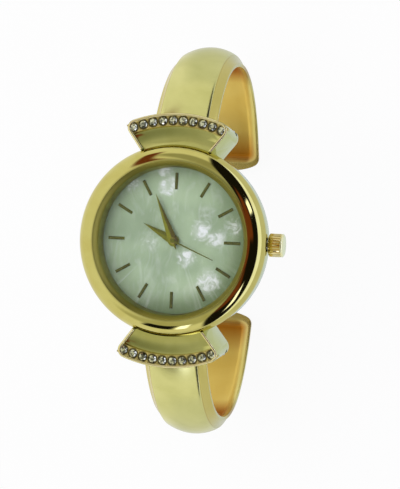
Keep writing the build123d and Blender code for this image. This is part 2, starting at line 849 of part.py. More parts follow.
clamp_y = battery_y - battery_radius - clamp_thickness - dial_clearance
with BuildPart() as battery_clamp:
    with BuildSketch(Plane.YZ.offset(battery_x - clamp_width / 2)):
        with BuildLine():
            Polyline(
                (clamp_y, movement_back_z),
                (clamp_y, battery_low_z - clamp_thickness),
                (battery_y - battery_radius + clamp_reach, battery_low_z - clamp_thickness),
                (battery_y - battery_radius + clamp_reach, battery_low_z),
                (clamp_y + clamp_thickness, battery_low_z),
                (clamp_y + clamp_thickness, movement_back_z),
                close=True,
            )
        make_face()
    extrude(amount=clamp_width)
battery_clamp.part.label = "battery_clamp"
export_step(battery_clamp.part, "parts/battery_clamp.step")

# Three identical screws: train cover, circuit board, coil
screw_places = [
    (train_cover_x, train_cover_y, movement_back_z - train_cover_height),
    (board_x + board_width / 4, board_y - board_length / 4, movement_back_z - board_thickness),
    (core_x - foot_x, core_y, core_z),
]
with BuildPart() as movement_screws:
    for screw_x, screw_y, screw_z in screw_places:
        with BuildSketch(Plane.XY.offset(screw_z)):
            with Locations((screw_x, screw_y)):
                Circle(screw_head_radius)
                Rectangle(2 * screw_head_radius, screw_head_height / 2, mode=Mode.SUBTRACT)
        extrude(amount=-screw_head_height)
        with BuildSketch(Plane.XY.offset(screw_z)):
            with Locations((screw_x, screw_y)):
                Circle(screw_head_radius)
        extrude(amount=-screw_head_height / 2)
movement_screws.part.label = "movement_screws"
export_step(movement_screws.part, "parts/movement_screws.step")


# Back cover

with BuildPart() as back_cover:
    with BuildSketch(Plane.XY):
        Circle(back_cover_radius)
    extrude(amount=back_cover_thickness)
    chamfer(back_cover.edges().sort_by(Axis.Z)[0], length=back_cover_thickness / 3)
    with BuildSketch(Plane.XY.offset(back_cover_thickness)):
        Circle(back_rim_radius)
        Circle(back_rim_radius - back_rim_wall, mode=Mode.SUBTRACT)
    extrude(amount=back_rim_height)
back_cover.part.label = "back_cover"
export_step(back_cover.part, "parts/back_cover.step")

with BuildPart() as back_gasket:
    with BuildSketch(Plane.XY.offset(back_cover_thickness)):
        Circle(case_bore_radius)
        Circle(back_rim_radius, mode=Mode.SUBTRACT)
    extrude(amount=back_rim_height / 2)
back_gasket.part.label = "back_gasket"
export_step(back_gasket.part, "parts/back_gasket.step")


# Winding button, stem and setting lever

tube_end_x = button_start_x + button_hollow_depth - tube_end_gap
with BuildPart() as button_tube:
    with BuildSketch(Plane.YZ.offset(case_bore_radius)):
        with Locations((0, button_z)):
            Circle(tube_radius)
            Circle(tube_bore_radius, mode=Mode.SUBTRACT)
    extrude(amount=tube_end_x - case_bore_radius)
button_tube.part.label = "button_tube"
export_step(button_tube.part, "parts/button_tube.step")

button_end_x = button_start_x + button_flute_length + button_cap_length
with BuildPart() as winding_button:
    with BuildSketch(Plane.YZ.offset(button_start_x)):
        with Locations((0, button_z)):
            Circle(button_radius)
            with PolarLocations(button_radius, button_flutes):
                RegularPolygon(flute_depth, 4, mode=Mode.SUBTRACT)
    extrude(amount=button_flute_length)
    with BuildSketch(Plane.YZ.offset(button_start_x + button_flute_length)):
        with Locations((0, button_z)):
            Circle(button_radius)
    extrude(amount=button_cap_length)
    chamfer(winding_button.faces().sort_by(Axis.X)[-1].edges(), length=button_cap_chamfer)
    with BuildSketch(Plane.YZ.offset(button_start_x)):
        with Locations((0, button_z)):
            Circle(button_hollow_radius)
    extrude(amount=button_hollow_depth, mode=Mode.SUBTRACT)
winding_button.part.label = "winding_button"
export_step(winding_button.part, "parts/winding_button.step")

with BuildPart() as button_seal:
    with BuildSketch(Plane.YZ.offset(button_start_x + seal_length)):
        with Locations((0, button_z)):
            Circle(button_hollow_radius)
            Circle(tube_radius + running_gap, mode=Mode.SUBTRACT)
    extrude(amount=seal_length)
button_seal.part.label = "button_seal"
export_step(button_seal.part, "parts/button_seal.step")

stem_end_x = button_start_x + button_hollow_depth
with BuildPart() as stem:
    with BuildSketch(Plane.YZ.offset(stem_inner_x)):
        with Locations((0, button_z)):
            Circle(stem_radius)
    extrude(amount=stem_end_x - stem_inner_x)
    # Groove of the setting lever
    with BuildSketch(Plane.YZ.offset(groove_middle_x - stem_groove_length / 2)):
        with Locations((0, button_z)):
            Circle(stem_radius)
            Circle(stem_groove_radius, mode=Mode.SUBTRACT)
    extrude(amount=stem_groove_length, mode=Mode.SUBTRACT)
stem.part.label = "stem"
export_step(stem.part, "parts/stem.step")

lever_top_z = button_z - stem_radius - lever_tab_gap
with BuildPart() as setting_lever:
    with BuildSketch(Plane.XY.offset(lever_top_z - lever_thickness)) as lever_outline:
        with Locations((groove_middle_x, 0)):
            Rectangle(lever_length, lever_width)
        fillet(lever_outline.vertices(), radius=lever_thickness)
    extrude(amount=lever_thickness)
    with BuildSketch(Plane.XY.offset(lever_top_z)):
        with Locations((groove_middle_x, 0)):
            Rectangle(stem_groove_length - 2 * lever_tab_gap, lever_tab_width)
    extrude(amount=button_z - stem_groove_radius - running_gap - lever_top_z)
setting_lever.part.label = "setting_lever"
export_step(setting_lever.part, "parts/setting_lever.step")


# Hinges

pin_half_length = flank_x(hinge_y) - hinge_pin_recess
with BuildPart() as upper_hinge_pin:
    with BuildSketch(Plane.YZ):
        with Locations((hinge_y, hinge_z)):
            Circle(hinge_pin_radius)
    extrude(amount=pin_half_length, both=True)
upper_hinge_pin.part.label = "upper_hinge_pin"
export_step(upper_hinge_pin.part, "parts/upper_hinge_pin.step")

with BuildPart() as lower_hinge_pin:
    mirror(upper_hinge_pin.part, about=Plane.XZ)
lower_hinge_pin.part.label = "lower_hinge_pin"
export_step(lower_hinge_pin.part, "parts/lower_hinge_pin.step")

# Folded leaf: one leg on the pocket's wall, the other against the arm's barrel
leaf_back_y = pocket_inner_y + spring_thickness / 2
leaf_front_y = hinge_y - barrel_radius - spring_thickness
with BuildPart() as upper_spring:
    with BuildSketch(Plane.YZ):
        with BuildLine():
            FilletPolyline(
                (leaf_back_y, hinge_z - barrel_radius),
                (leaf_back_y, hinge_z + spring_reach),
                (leaf_front_y, hinge_z),
                radius=spring_thickness,
            )
        trace(line_width=spring_thickness)
    extrude(amount=spring_width / 2, both=True)
upper_spring.part.label = "upper_spring"
export_step(upper_spring.part, "parts/upper_spring.step")

with BuildPart() as lower_spring:
    mirror(upper_spring.part, about=Plane.XZ)
lower_spring.part.label = "lower_spring"
export_step(lower_spring.part, "parts/lower_spring.step")


# Bangle arms


def oval_plane(turn):
    """Plane across the arm at a turn round the oval: local Y points out, the origin is the crown."""
    origin = (0, oval_half_width * sin(turn), oval_centre_z + oval_half_height * cos(turn))
    backwards = (0, -oval_half_width * cos(turn), oval_half_height * sin(turn))
    return Plane(origin=origin, x_dir=(1, 0, 0), z_dir=backwards)


def arm_half_width(turn):
    """Half width of the arm at a turn round the oval."""
    share = (turn - root_turn) / (tip_turn - root_turn)
    return (arm_root_width + (arm_tip_width - arm_root_width) * share) / 2


def pan_section(turn):
    """Section of the shallow pan inside the arm, with slanting walls inside two rims."""
    mouth = arm_half_width(turn) - pan_rim
    with BuildSketch(oval_plane(turn)) as section:
        Polygon(
            (-mouth, -arm_thickness - overrun),
            (mouth, -arm_thickness - overrun),
            (mouth, -arm_thickness),
            (mouth - pan_slant, pan_depth - arm_thickness),
            (pan_slant - mouth, pan_depth - arm_thickness),
            (-mouth, -arm_thickness),
            align=None,
        )
    return section.sketch


def arm_section(turn):
    """Section of the arm: gently crowned band, hollow bevels, upright sides, flat inside."""
    half = arm_half_width(turn)
    crease = half - bevel_width
    edge = arm_side_wall - arm_thickness
    bevel_x = half - bevel_width / 2 - bevel_hollow
    bevel_y = (edge - crown_rise) / 2 - bevel_hollow
    with BuildSketch(oval_plane(turn)) as section:
        with BuildLine():
            ThreePointArc((-crease, -crown_rise), (0, 0), (crease, -crown_rise))
            ThreePointArc((crease, -crown_rise), (bevel_x, bevel_y), (half, edge))
            Polyline((half, edge), (half, -arm_thickness), (-half, -arm_thickness), (-half, edge))
            ThreePointArc((-half, edge), (-bevel_x, bevel_y), (-crease, -crown_rise))
        make_face()
    return section.sketch


# Waste round the tip, seen along the band's normal with local Y back into the arm
tip_plane = oval_plane(tip_turn)
half_tip = arm_tip_width / 2 + overrun / 20
tip_reach = tip_bow + tip_corner_round
with BuildSketch(Plane(origin=tip_plane.origin, x_dir=(-1, 0, 0), z_dir=tip_plane.y_dir)) as tip_waste:
    Rectangle(arm_root_width, 2 * tip_reach)
    with BuildSketch(mode=Mode.PRIVATE) as tip_outline:
        with BuildLine():
            Line((-half_tip, 2 * tip_reach), (half_tip, 2 * tip_reach))
            Line((half_tip, 2 * tip_reach), (half_tip, tip_bow))
            ThreePointArc((half_tip, tip_bow), (0, 0), (-half_tip, tip_bow))
            Line((-half_tip, tip_bow), (-half_tip, 2 * tip_reach))
        make_face()
        fillet(tip_outline.vertices().group_by(Axis.Y)[0], radius=tip_corner_round)
    add(tip_outline.sketch, mode=Mode.SUBTRACT)

# The pan runs from past the hinge to a little before the tip
with BuildPart() as arm_pan:
    pan_start = root_turn + pan_root_margin / oval_half_width
    pan_end = tip_turn - pan_tip_margin / oval_half_width
    for k in range(arm_sections):
        add(pan_section(pan_start + (pan_end - pan_start) * k / (arm_sections - 1)))
    loft()

with BuildPart() as upper_arm:
    for k in range(arm_sections):
        add(arm_section(root_turn + (tip_turn - root_turn) * k / (arm_sections - 1)))
    loft()
    # Bowed tip with rounded corners, cut square to the band
    extrude(tip_waste.sketch, amount=2 * arm_thickness, both=True, mode=Mode.SUBTRACT)
    add(arm_pan.part, mode=Mode.SUBTRACT)
    # Hinge barrel at the root
    with BuildSketch(Plane.YZ):
        with Locations((hinge_y, hinge_z)):
            Circle(barrel_radius)
    extrude(amount=arm_root_width / 2, both=True)
    with BuildSketch(Plane.YZ):
        with Locations((hinge_y, hinge_z)):
            Circle(hinge_pin_radius + running_gap)
    extrude(amount=arm_root_width, both=True, mode=Mode.SUBTRACT)
upper_arm.part.label = "upper_arm"
export_step(upper_arm.part, "parts/upper_arm.step")

with BuildPart() as lower_arm:
    mirror(upper_arm.part, about=Plane.XZ)
lower_arm.part.label = "lower_arm"
export_step(lower_arm.part, "parts/lower_arm.step")
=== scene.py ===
"""A gold bangle watch with a pearl dial and stone-set lugs, dressed for a plain studio picture."""

import json
import logging
import math
import random
from dataclasses import dataclass
from enum import Enum
from typing import Mapping, Sequence, Union

import bmesh
import bpy
from mathutils import Matrix, Vector


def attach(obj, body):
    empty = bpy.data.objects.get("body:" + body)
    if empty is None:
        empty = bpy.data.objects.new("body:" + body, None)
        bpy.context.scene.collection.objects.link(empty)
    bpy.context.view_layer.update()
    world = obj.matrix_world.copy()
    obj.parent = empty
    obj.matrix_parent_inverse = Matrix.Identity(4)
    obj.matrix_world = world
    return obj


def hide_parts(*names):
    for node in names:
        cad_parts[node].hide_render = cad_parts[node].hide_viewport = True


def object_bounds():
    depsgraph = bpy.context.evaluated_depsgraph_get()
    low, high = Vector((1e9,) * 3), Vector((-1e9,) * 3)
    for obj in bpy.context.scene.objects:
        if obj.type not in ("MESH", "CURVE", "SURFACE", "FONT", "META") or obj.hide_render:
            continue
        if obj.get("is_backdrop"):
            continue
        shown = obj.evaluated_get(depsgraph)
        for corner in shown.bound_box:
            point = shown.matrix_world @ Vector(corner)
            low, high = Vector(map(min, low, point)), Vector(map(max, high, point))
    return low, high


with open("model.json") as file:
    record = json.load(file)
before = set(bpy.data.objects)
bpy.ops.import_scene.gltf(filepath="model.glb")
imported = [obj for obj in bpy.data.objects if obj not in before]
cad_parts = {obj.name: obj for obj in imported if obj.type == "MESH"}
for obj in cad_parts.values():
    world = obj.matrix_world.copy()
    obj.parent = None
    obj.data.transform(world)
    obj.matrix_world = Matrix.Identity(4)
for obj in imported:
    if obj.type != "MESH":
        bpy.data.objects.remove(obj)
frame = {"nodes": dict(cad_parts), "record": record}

LOG = logging.getLogger("bangle_watch")
MILLIMETRE = 0.001
DEGREES_PER_RADIAN = 180 / math.pi
MERGE_DISTANCE = 1e-5
NODE_MERGE_DISTANCE = 50 * MERGE_DISTANCE * MILLIMETRE
MATCH_STEPS = 1e4
FLAT_ANGLE = 0.4
SHARP_ANGLE = 30.0
DISPLAY_TOP = 255
DISPLAY_KNEE = 0.04045
DISPLAY_FOOT = 12.92
DISPLAY_OFFSET = 0.055
DISPLAY_POWER = 2.4
MIX_FACTOR = 0
MIX_FIRST = 6
MIX_SECOND = 7
MIX_RESULT = 2
# Marks that the arms carry for their painted light: warm reflection in the pan and near its ends, shade on
# the bevels.
INSIDE_SATIN_AND_REFLECTION_MARK = "inside"
BEVEL_SHADE_MARK = "bevel"
WARM_REFLECTION_MARK = "pan_ends"

Colour = tuple[float, float, float]
Pair = tuple[float, float]
Triple = tuple[float, float, float]
Ring = list[Vector]

WHITE: Colour = (1.0, 1.0, 1.0)


def tone(red: int, green: int, blue: int) -> Colour:
    """Turns a display colour of 0 to 255 into the linear colour that shaders take.

    Args:
        red, green, blue: display values.

    Returns:
        The linear colour.
    """
    def linear(value: int) -> float:
        """Turns one channel from display to linear.

        Args:
            value: the display value.

        Returns:
            The linear value, from 0 to 1.
        """
        share = value / DISPLAY_TOP
        if share <= DISPLAY_KNEE:
            return share / DISPLAY_FOOT
        return ((share + DISPLAY_OFFSET) / (1 + DISPLAY_OFFSET)) ** DISPLAY_POWER

    return linear(red), linear(green), linear(blue)


class Side(Enum):
    """The two ends of the watch, by the sign of Y."""

    UPPER = 1
    LOWER = -1

    @property
    def word(self) -> str:
        """The word that starts the names of this side's pieces."""
        return self.name.lower()


@dataclass(frozen=True)
class Cloud:
    """The measures of one cloudy noise, with its clouds counted per metre along each axis or all three."""

    density: Union[float, Triple]
    detail: float
    roughness: float = 0.5
    warp: float = 0.0


class Grain(Enum):
    """How a metal surface has been worked last, and the noise that its marks follow.

    The circular grain is counted per metre of the radius and per radian of the turn.
    """

    POLISHED = Cloud(350.0, 1.0)
    SATIN = Cloud((12000.0, 900.0, 900.0), 2.0)
    CIRCULAR = Cloud((9000.0, 2.0, 0.0), 2.0)
    MACHINED = Cloud((3000.0, 3000.0, 9000.0), 3.0)


class Signal:
    """A shader socket that takes part in Python expressions, each of which adds its Math node."""

    def __init__(self, sheet: "Sheet", socket: bpy.types.NodeSocket) -> None:
        """Keeps the socket and the sheet that it lies on."""
        self.sheet = sheet
        self.socket = socket

    def _math(self, operation: str, *values: "Value") -> "Signal":
        """Adds one Math node."""
        return self.sheet.add("ShaderNodeMath", {"operation": operation}, dict(enumerate(values)))

    def __add__(self, other: "Value") -> "Signal":
        """self + other."""
        return self._math("ADD", self, other)

    def __radd__(self, other: "Value") -> "Signal":
        """other + self."""
        return self._math("ADD", other, self)

    def __sub__(self, other: "Value") -> "Signal":
        """self - other."""
        return self._math("SUBTRACT", self, other)

    def __rsub__(self, other: "Value") -> "Signal":
        """other - self."""
        return self._math("SUBTRACT", other, self)

    def __mul__(self, other: "Value") -> "Signal":
        """self * other."""
        return self._math("MULTIPLY", self, other)

    def __rmul__(self, other: "Value") -> "Signal":
        """other * self."""
        return self._math("MULTIPLY", other, self)

    def __truediv__(self, other: "Value") -> "Signal":
        """self / other."""
        return self._math("DIVIDE", self, other)

    def larger(self, other: "Value") -> "Signal":
        """The larger of self and other."""
        return self._math("MAXIMUM", self, other)

    def smaller(self, other: "Value") -> "Signal":
        """The smaller of self and other."""
        return self._math("MINIMUM", self, other)

    def root(self) -> "Signal":
        """The square root."""
        return self._math("SQRT", self)

    def sine(self) -> "Signal":
        """The sine of an angle in radians."""
        return self._math("SINE", self)

    def fraction(self) -> "Signal":
        """What is left over the whole number."""
        return self._math("FRACT", self)

    def angle_to(self, other: "Value") -> "Signal":
        """The angle in radians whose tangent is self / other."""
        return self._math("ARCTAN2", self, other)

    def size(self) -> "Signal":
        """The number without its sign."""
        return (self * self).root()

    def reach(self, other: "Signal") -> "Signal":
        """How far a place is that lies self across and other along."""
        return (self * self + other * other).root()

    def rise(self, low: float, high: float) -> "Signal":
        """A smooth step between two values.

        Args:
            low: the value at which the step is 0.
            high: the value at which the step is 1, which may be the smaller of the two.

        Returns:
            The step, from 0 to 1.
        """
        ends = (low, high, 0.0, 1.0) if low < high else (high, low, 1.0, 0.0)
        settings = {"interpolation_type": "SMOOTHSTEP"}
        return self.sheet.add("ShaderNodeMapRange", settings, dict(enumerate((self, *ends))))

    def rise_mm(self, low: float, high: float) -> "Signal":
        """A smooth step of a place in metres between two places in millimetres."""
        return self.rise(low * MILLIMETRE, high * MILLIMETRE)

    def window(self, low: float, high: float, soft: float) -> "Signal":
        """1 between low and high, falling to 0 over soft on each side."""
        return self.rise(low - soft, low + soft) * self.rise(high + soft, high - soft)


Value = Union[Signal, float, Colour, tuple[float, float, float, float]]


class Sheet:
    """A node tree that is filled through one node-making method."""

    def __init__(self, tree: bpy.types.NodeTree) -> None:
        """Starts the tree with nothing on it."""
        tree.nodes.clear()
        self.tree = tree

    def add(
        self,
        kind: str,
        settings: Mapping[str, object] | None = None,
        inputs: Mapping[Union[str, int], Value] | None = None,
        output: Union[str, int] = 0,
    ) -> Signal:
        """Adds a node, sets it, and fills its sockets.

        Args:
            kind: the node's type.
            settings: its properties.
            inputs: a value or a signal for each named or numbered socket.
            output: which of its outputs to return.

        Returns:
            The output as a signal.
        """
        node = self.tree.nodes.new(kind)
        for key, value in (settings or {}).items():
            setattr(node, key, value)
        for key, value in (inputs or {}).items():
            socket = node.inputs[key]
            if isinstance(value, Signal):
                self.tree.links.new(value.socket, socket)
            elif isinstance(value, tuple) and socket.type == "RGBA" and len(value) == 3:
                socket.default_value = (*value, 1.0)
            else:
                socket.default_value = value
        return Signal(self, node.outputs[output] if len(node.outputs) else None)

    def output_of(self, signal: Signal, name: Union[str, int]) -> Signal:
        """Another output of the node that a signal comes from."""
        return Signal(self, signal.socket.node.outputs[name])

    def mix(self, factor: Value, first: Value, second: Value) -> Signal:
        """A colour between first, at factor 0, and second, at factor 1."""
        inputs = {MIX_FACTOR: factor, MIX_FIRST: first, MIX_SECOND: second}
        return self.add("ShaderNodeMix", {"data_type": "RGBA"}, inputs, MIX_RESULT)

    def attribute(self, name: str) -> Signal:
        """A number that the faces or points of the piece carry."""
        return self.add("ShaderNodeAttribute", {"attribute_name": name}, output="Fac")

    def place(self) -> Signal:
        """Object coordinates, in metres."""
        return self.add("ShaderNodeTexCoord", output="Object")

    def parts_of(self, vector: Signal) -> tuple[Signal, Signal, Signal]:
        """The three numbers of a vector."""
        split = self.add("ShaderNodeSeparateXYZ", inputs={0: vector})
        return tuple(self.output_of(split, axis) for axis in range(3))

    def level_place(self) -> tuple[Signal, Signal]:
        """The object's X and Y, in metres."""
        return self.parts_of(self.place())[:2]

    def noise(self, cloud: Cloud, *parts: Signal) -> Signal:
        """Cloudy noise over a place that is given in two or three numbers.

        Args:
            cloud: the noise's measures.
            parts: the numbers of the place.

        Returns:
            The noise, from 0 to 1.
        """
        scaled = [part * scale for part, scale in zip(parts, cloud.density)]
        return self._noise_on(self.add("ShaderNodeCombineXYZ", inputs=dict(enumerate(scaled))), cloud)

    def clouds(self, cloud: Cloud) -> Signal:
        """Cloudy noise over the object.

        Args:
            cloud: the noise's measures.

        Returns:
            The noise, from 0 to 1.
        """
        density = cloud.density if isinstance(cloud.density, tuple) else (cloud.density,) * 3
        inputs = {0: self.place(), 1: density}
        return self._noise_on(self.add("ShaderNodeVectorMath", {"operation": "MULTIPLY"}, inputs), cloud)

    def _noise_on(self, vector: Signal, cloud: Cloud) -> Signal:
        """Noise with about one cloud per unit of the vector."""
        shape = {"Detail": cloud.detail, "Roughness": cloud.roughness, "Distortion": cloud.warp}
        return self.add("ShaderNodeTexNoise", inputs={"Vector": vector, "Scale": 1.0, **shape})

    def bump(self, height: Signal, distance: float, strength: float = 1.0) -> Signal:
        """The normal of a relief that is distance millimetres high."""
        inputs = {"Strength": strength, "Distance": distance * MILLIMETRE, "Height": height}
        return self.add("ShaderNodeBump", inputs=inputs)


def new_sheet(name: str) -> tuple[bpy.types.Material, Sheet]:
    """Makes an empty material.

    Args:
        name: its name.

    Returns:
        The material and the sheet of its nodes.
    """
    material = bpy.data.materials.new(name)
    material.use_nodes = True
    return material, Sheet(material.node_tree)


@dataclass(frozen=True)
class Finish:
    """A named surface. Its measures are in millimetres, and a pair of edges bounds a smooth step."""

    name: str

    def make(self) -> bpy.types.Material:
        """Builds the material.

        Returns:
            The finished material.
        """
        material, sheet = new_sheet(self.name)
        shader = sheet.add("ShaderNodeBsdfPrincipled", inputs=self.inputs(sheet))
        sheet.add("ShaderNodeOutputMaterial", inputs={"Surface": shader})
        return material

    def inputs(self, sheet: Sheet) -> dict[str, Value]:
        """Works out what goes into the Principled shader, which each kind of finish does in its own way.

        Args:
            sheet: the sheet for the nodes.

        Returns:
            A value or a signal for each socket.
        """
        raise NotImplementedError(sheet)


@dataclass(frozen=True)
class PanTones:
    """Painted tones of an arm: a warm painted reflection inside the hollow pan and at its ends, and painted
    shade on the bevels.
    """

    inside: Colour
    inside_deep: Colour
    # Painted warm reflection at the pan's ends, and painted shade on the bevels.
    warm_ends: Colour
    bevel: Colour


@dataclass(frozen=True)
class SatinSlope:
    """A matt slope inside a radius, in a darker tone that is painted shade."""

    radius: float
    tone: Colour
    soft: float = 0.02


@dataclass(frozen=True)
class MetalFinish(Finish):
    """A plated or bare metal surface with slow changes of tone, fine grain and small marks.

    With the pan's tones it reads what the arms carry: how deep in the pan a face lies, which faces are
    bevels, and how near a point is to the pan's ends. From these it paints light, a warm reflection deeper
    in the pan and near its ends and shade on the bevels, and it makes the inside matt.
    """

    main: Colour
    deep: Colour
    roughness: float
    grain: Grain = Grain.POLISHED
    grain_height: float = 0.004
    grain_wear: float = 0.1
    cloud_width: float = 4.0
    cloud_detail: float = 4.0
    cloud_warp: float = 0.4
    cloud_edges: Pair = (0.35, 0.7)
    cloud_wear: float = 0.5
    pan: PanTones | None = None
    slope: SatinSlope | None = None
    satin_roughness: float = 0.4

    def inputs(self, sheet: Sheet) -> dict[str, Value]:
        """Works out the metal's tone, roughness and relief.

        Args:
            sheet: the sheet for the nodes.

        Returns:
            A value or a signal for each socket.
        """
        density = 1 / (self.cloud_width * MILLIMETRE)
        clouds = sheet.clouds(Cloud(density, self.cloud_detail, warp=self.cloud_warp))
        marks = self._marks(sheet)
        colour = sheet.mix(clouds.rise(*self.cloud_edges), self.main, self.deep)
        rough = self.roughness * (1 - self.cloud_wear / 2 + self.cloud_wear * clouds)
        rough = rough + self.grain_wear * self.roughness * marks
        matt = self.satin_roughness - self.roughness
        if self.pan is not None:
            # Painted light on the arms: warm reflection inside the pan and near its ends, shade on the
            # bevels.
            mask = sheet.attribute(INSIDE_SATIN_AND_REFLECTION_MARK)
            inside = sheet.mix(clouds, self.pan.inside, self.pan.inside_deep)
            inside = sheet.mix(sheet.attribute(WARM_REFLECTION_MARK), inside, self.pan.warm_ends)
            colour = sheet.mix(sheet.attribute(BEVEL_SHADE_MARK), colour, self.pan.bevel)
            colour = sheet.mix(mask, colour, inside)
            rough = rough + mask * matt
        if self.slope is not None:
            # Inside the radius the surface turns matt and takes a darker tone of painted shade.
            across, along = sheet.level_place()
            edges = (self.slope.radius + self.slope.soft, self.slope.radius - self.slope.soft)
            slope = across.reach(along).rise_mm(*edges)
            colour = sheet.mix(slope, colour, self.slope.tone)
            rough = rough + slope * matt
        return {
            "Base Color": colour,
            "Metallic": 1.0,
            "Roughness": rough,
            "Normal": sheet.bump(marks, self.grain_height),
        }

    def _marks(self, sheet: Sheet) -> Signal:
        """Makes the relief left by the last working of the surface.

        Args:
            sheet: the sheet for the nodes.

        Returns:
            The relief, from 0 to 1.
        """
        if self.grain is not Grain.CIRCULAR:
            return sheet.clouds(self.grain.value)
        across, along = sheet.level_place()
        return sheet.noise(self.grain.value, across.reach(along), along.angle_to(across))


@dataclass(frozen=True)
class BrightSpot:
    """A spot of painted sheen on the dial, where the pearl shines."""

    x: float
    y: float
    radius: float
    strength: float


@dataclass(frozen=True)
class PearlFinish(Finish):
    """Mother-of-pearl: pale layered clouds under a clear lacquer, brighter where the layers turn.

    Painted shade darkens the rim, most towards the lower right, rays fan out over the lower half, and spots
    of painted sheen brighten the layers, broken up by fine creases. A share or a pair of shares says how
    much of a tone goes into the mix.
    """

    deep: Colour
    main: Colour
    light: Colour
    blush: Colour
    edge: Colour
    spots: tuple[BrightSpot, ...]
    cloud: Cloud = Cloud(160.0, 2.0)
    cloud_edges: Pair = (0.3, 0.7)
    layer: Cloud = Cloud((420.0, 160.0, 300.0), 6.0, 0.6, 1.6)
    layer_edges: Pair = (0.45, 0.8)
    layer_shares: Pair = (0.25, 0.5)
    blush_edges: Pair = (0.55, 0.8)
    blush_share: float = 0.25
    rim_edges: Pair = (8.0, 12.4)
    rim_shares: Pair = (0.48, 0.46)
    dark_side: Triple = (0.8, -0.75, 3.0)
    dark_side_edges: Pair = (2.0, 12.0)
    ray: Cloud = Cloud((11.0, 60.0, 0.0), 2.0, warp=0.8)
    ray_edges: Pair = (0.5, 0.75)
    ray_share: float = 0.22
    fan_height: float = 2.0
    low_edges: Pair = (-2.0, -7.0)
    crease: Cloud = Cloud((600.0, 680.0, 300.0), 5.0, 0.6, 1.1)
    crease_edges: Pair = (0.47, 0.7)
    crease_lift: float = 0.1
    spot_core: float = 0.2
    spot_gain: float = 1.5
    even_share: float = 0.3
    crease_shares: Pair = (0.9, 0.2)
    layer_relief: float = 0.6
    relief_height: float = 0.02
    relief_strength: float = 0.5
    gloss: Pair = (0.22, 0.2)
    coat_weight: float = 0.6
    coat_roughness: float = 0.04
    refraction: float = 1.53

    def inputs(self, sheet: Sheet) -> dict[str, Value]:
        """Works out the pearl's tone, lacquer and relief.

        Args:
            sheet: the sheet for the nodes.

        Returns:
            A value or a signal for each socket.
        """
        clouds = sheet.clouds(self.cloud)
        layers = sheet.clouds(self.layer)
        creases = sheet.clouds(self.crease)
        across, along = sheet.level_place()
        glow = self._glow(across, along)
        turn = across.angle_to(along - self.fan_height * MILLIMETRE)
        rays = sheet.noise(self.ray, turn, along).rise(*self.ray_edges) * along.rise_mm(*self.low_edges)
        layer_share, layer_glow = self.layer_shares
        base = sheet.mix(clouds.rise(*self.cloud_edges), self.deep, self.main)
        shine = layers.rise(*self.layer_edges) * (layer_share + layer_glow * glow)
        base = sheet.mix(shine, base, self.light)
        base = sheet.mix(clouds.rise(*self.blush_edges) * self.blush_share, base, self.blush)
        base = sheet.mix(self._rim_shade(across, along), base, self.edge)
        base = sheet.mix(rays * self.ray_share, base, self.light)
        patches = (creases + glow * self.crease_lift).rise(*self.crease_edges)
        most, less = self.crease_shares
        spots = self.even_share * glow + (most - less * glow) * patches
        base = sheet.mix((glow * self.spot_gain).smaller(1.0) * spots, base, self.light)
        relief = layers * self.layer_relief + creases * (1 - self.layer_relief)
        return {
            "Base Color": base,
            "Roughness": self.gloss[0] + self.gloss[1] * layers,
            "Normal": sheet.bump(relief, self.relief_height, self.relief_strength),
            "Coat Weight": self.coat_weight,
            "Coat Roughness": self.coat_roughness,
            "IOR": self.refraction,
        }

    def _glow(self, across: Signal, along: Signal) -> Signal:
        """Makes the spots of painted sheen.

        Args:
            across, along: the place on the dial, in metres.

        Returns:
            The strength of the strongest spot there.
        """
        glow = None
        for spot in self.spots:
            far = (across - spot.x * MILLIMETRE).reach(along - spot.y * MILLIMETRE)
            shine = far.rise_mm(spot.radius, self.spot_core * spot.radius) * spot.strength
            glow = shine if glow is None else glow.larger(shine)
        return glow

    def _rim_shade(self, across: Signal, along: Signal) -> Signal:
        """Makes the painted shade round the rim, stronger towards the lower right.

        Args:
            across, along: the place on the dial, in metres.

        Returns:
            The share of the edge's tone.
        """
        slope_x, slope_y, start = self.dark_side
        aside = across * slope_x + along * slope_y + start * MILLIMETRE
        rim_share, side_share = self.rim_shares
        rim = across.reach(along).rise_mm(*self.rim_edges)
        return rim * (rim_share + side_share * aside.rise_mm(*self.dark_side_edges))


@dataclass(frozen=True)
class ClearFinish(Finish):
    """Clear polished glass, thin enough to be drawn by how much of it is seen."""

    colour: Colour
    cover: float
    dust: Cloud = Cloud(900.0, 4.0)
    dust_wear: Pair = (0.02, 0.03)
    dust_cover: Pair = (0.8, 0.4)
    coat_roughness: float = 0.02
    refraction: float = 1.5

    def inputs(self, sheet: Sheet) -> dict[str, Value]:
        """Works out the glass's gloss and how much of it is seen.

        Args:
            sheet: the sheet for the nodes.

        Returns:
            A value or a signal for each socket.
        """
        dust = sheet.clouds(self.dust)
        return {
            "Base Color": self.colour,
            "Roughness": self.dust_wear[0] + self.dust_wear[1] * dust,
            "Alpha": self.cover * (self.dust_cover[0] + self.dust_cover[1] * dust),
            "IOR": self.refraction,
            "Coat Weight": 1.0,
            "Coat Roughness": self.coat_roughness,
        }


@dataclass(frozen=True)
class StoneFinish(Finish):
    """Cut glass stones with foil behind them, which throw the light back from each facet; noise paints some
    of the foil light and some dark, a painted reflection of the facets.
    """

    light: Colour
    dark: Colour
    sparkle: Cloud = Cloud(2600.0, 1.0)
    sparkle_edges: Pair = (0.4, 0.6)
    gloss: Pair = (0.03, 0.05)
    foil_share: float = 0.85
    coat_roughness: float = 0.01
    refraction: float = 1.6

    def inputs(self, sheet: Sheet) -> dict[str, Value]:
        """Works out the stones' sparkle, painted as light and dark patches of the foil's tone.

        Args:
            sheet: the sheet for the nodes.

        Returns:
            A value or a signal for each socket.
        """
        # Painted reflection: noise mixes the foil's light and dark tones.
        sparkle = sheet.clouds(self.sparkle)
        return {
            "Base Color": sheet.mix(sparkle.rise(*self.sparkle_edges), self.dark, self.light),
            "Metallic": self.foil_share,
            "Roughness": self.gloss[0] + self.gloss[1] * sparkle,
            "Coat Weight": 1.0,
            "Coat Roughness": self.coat_roughness,
            "IOR": self.refraction,
        }


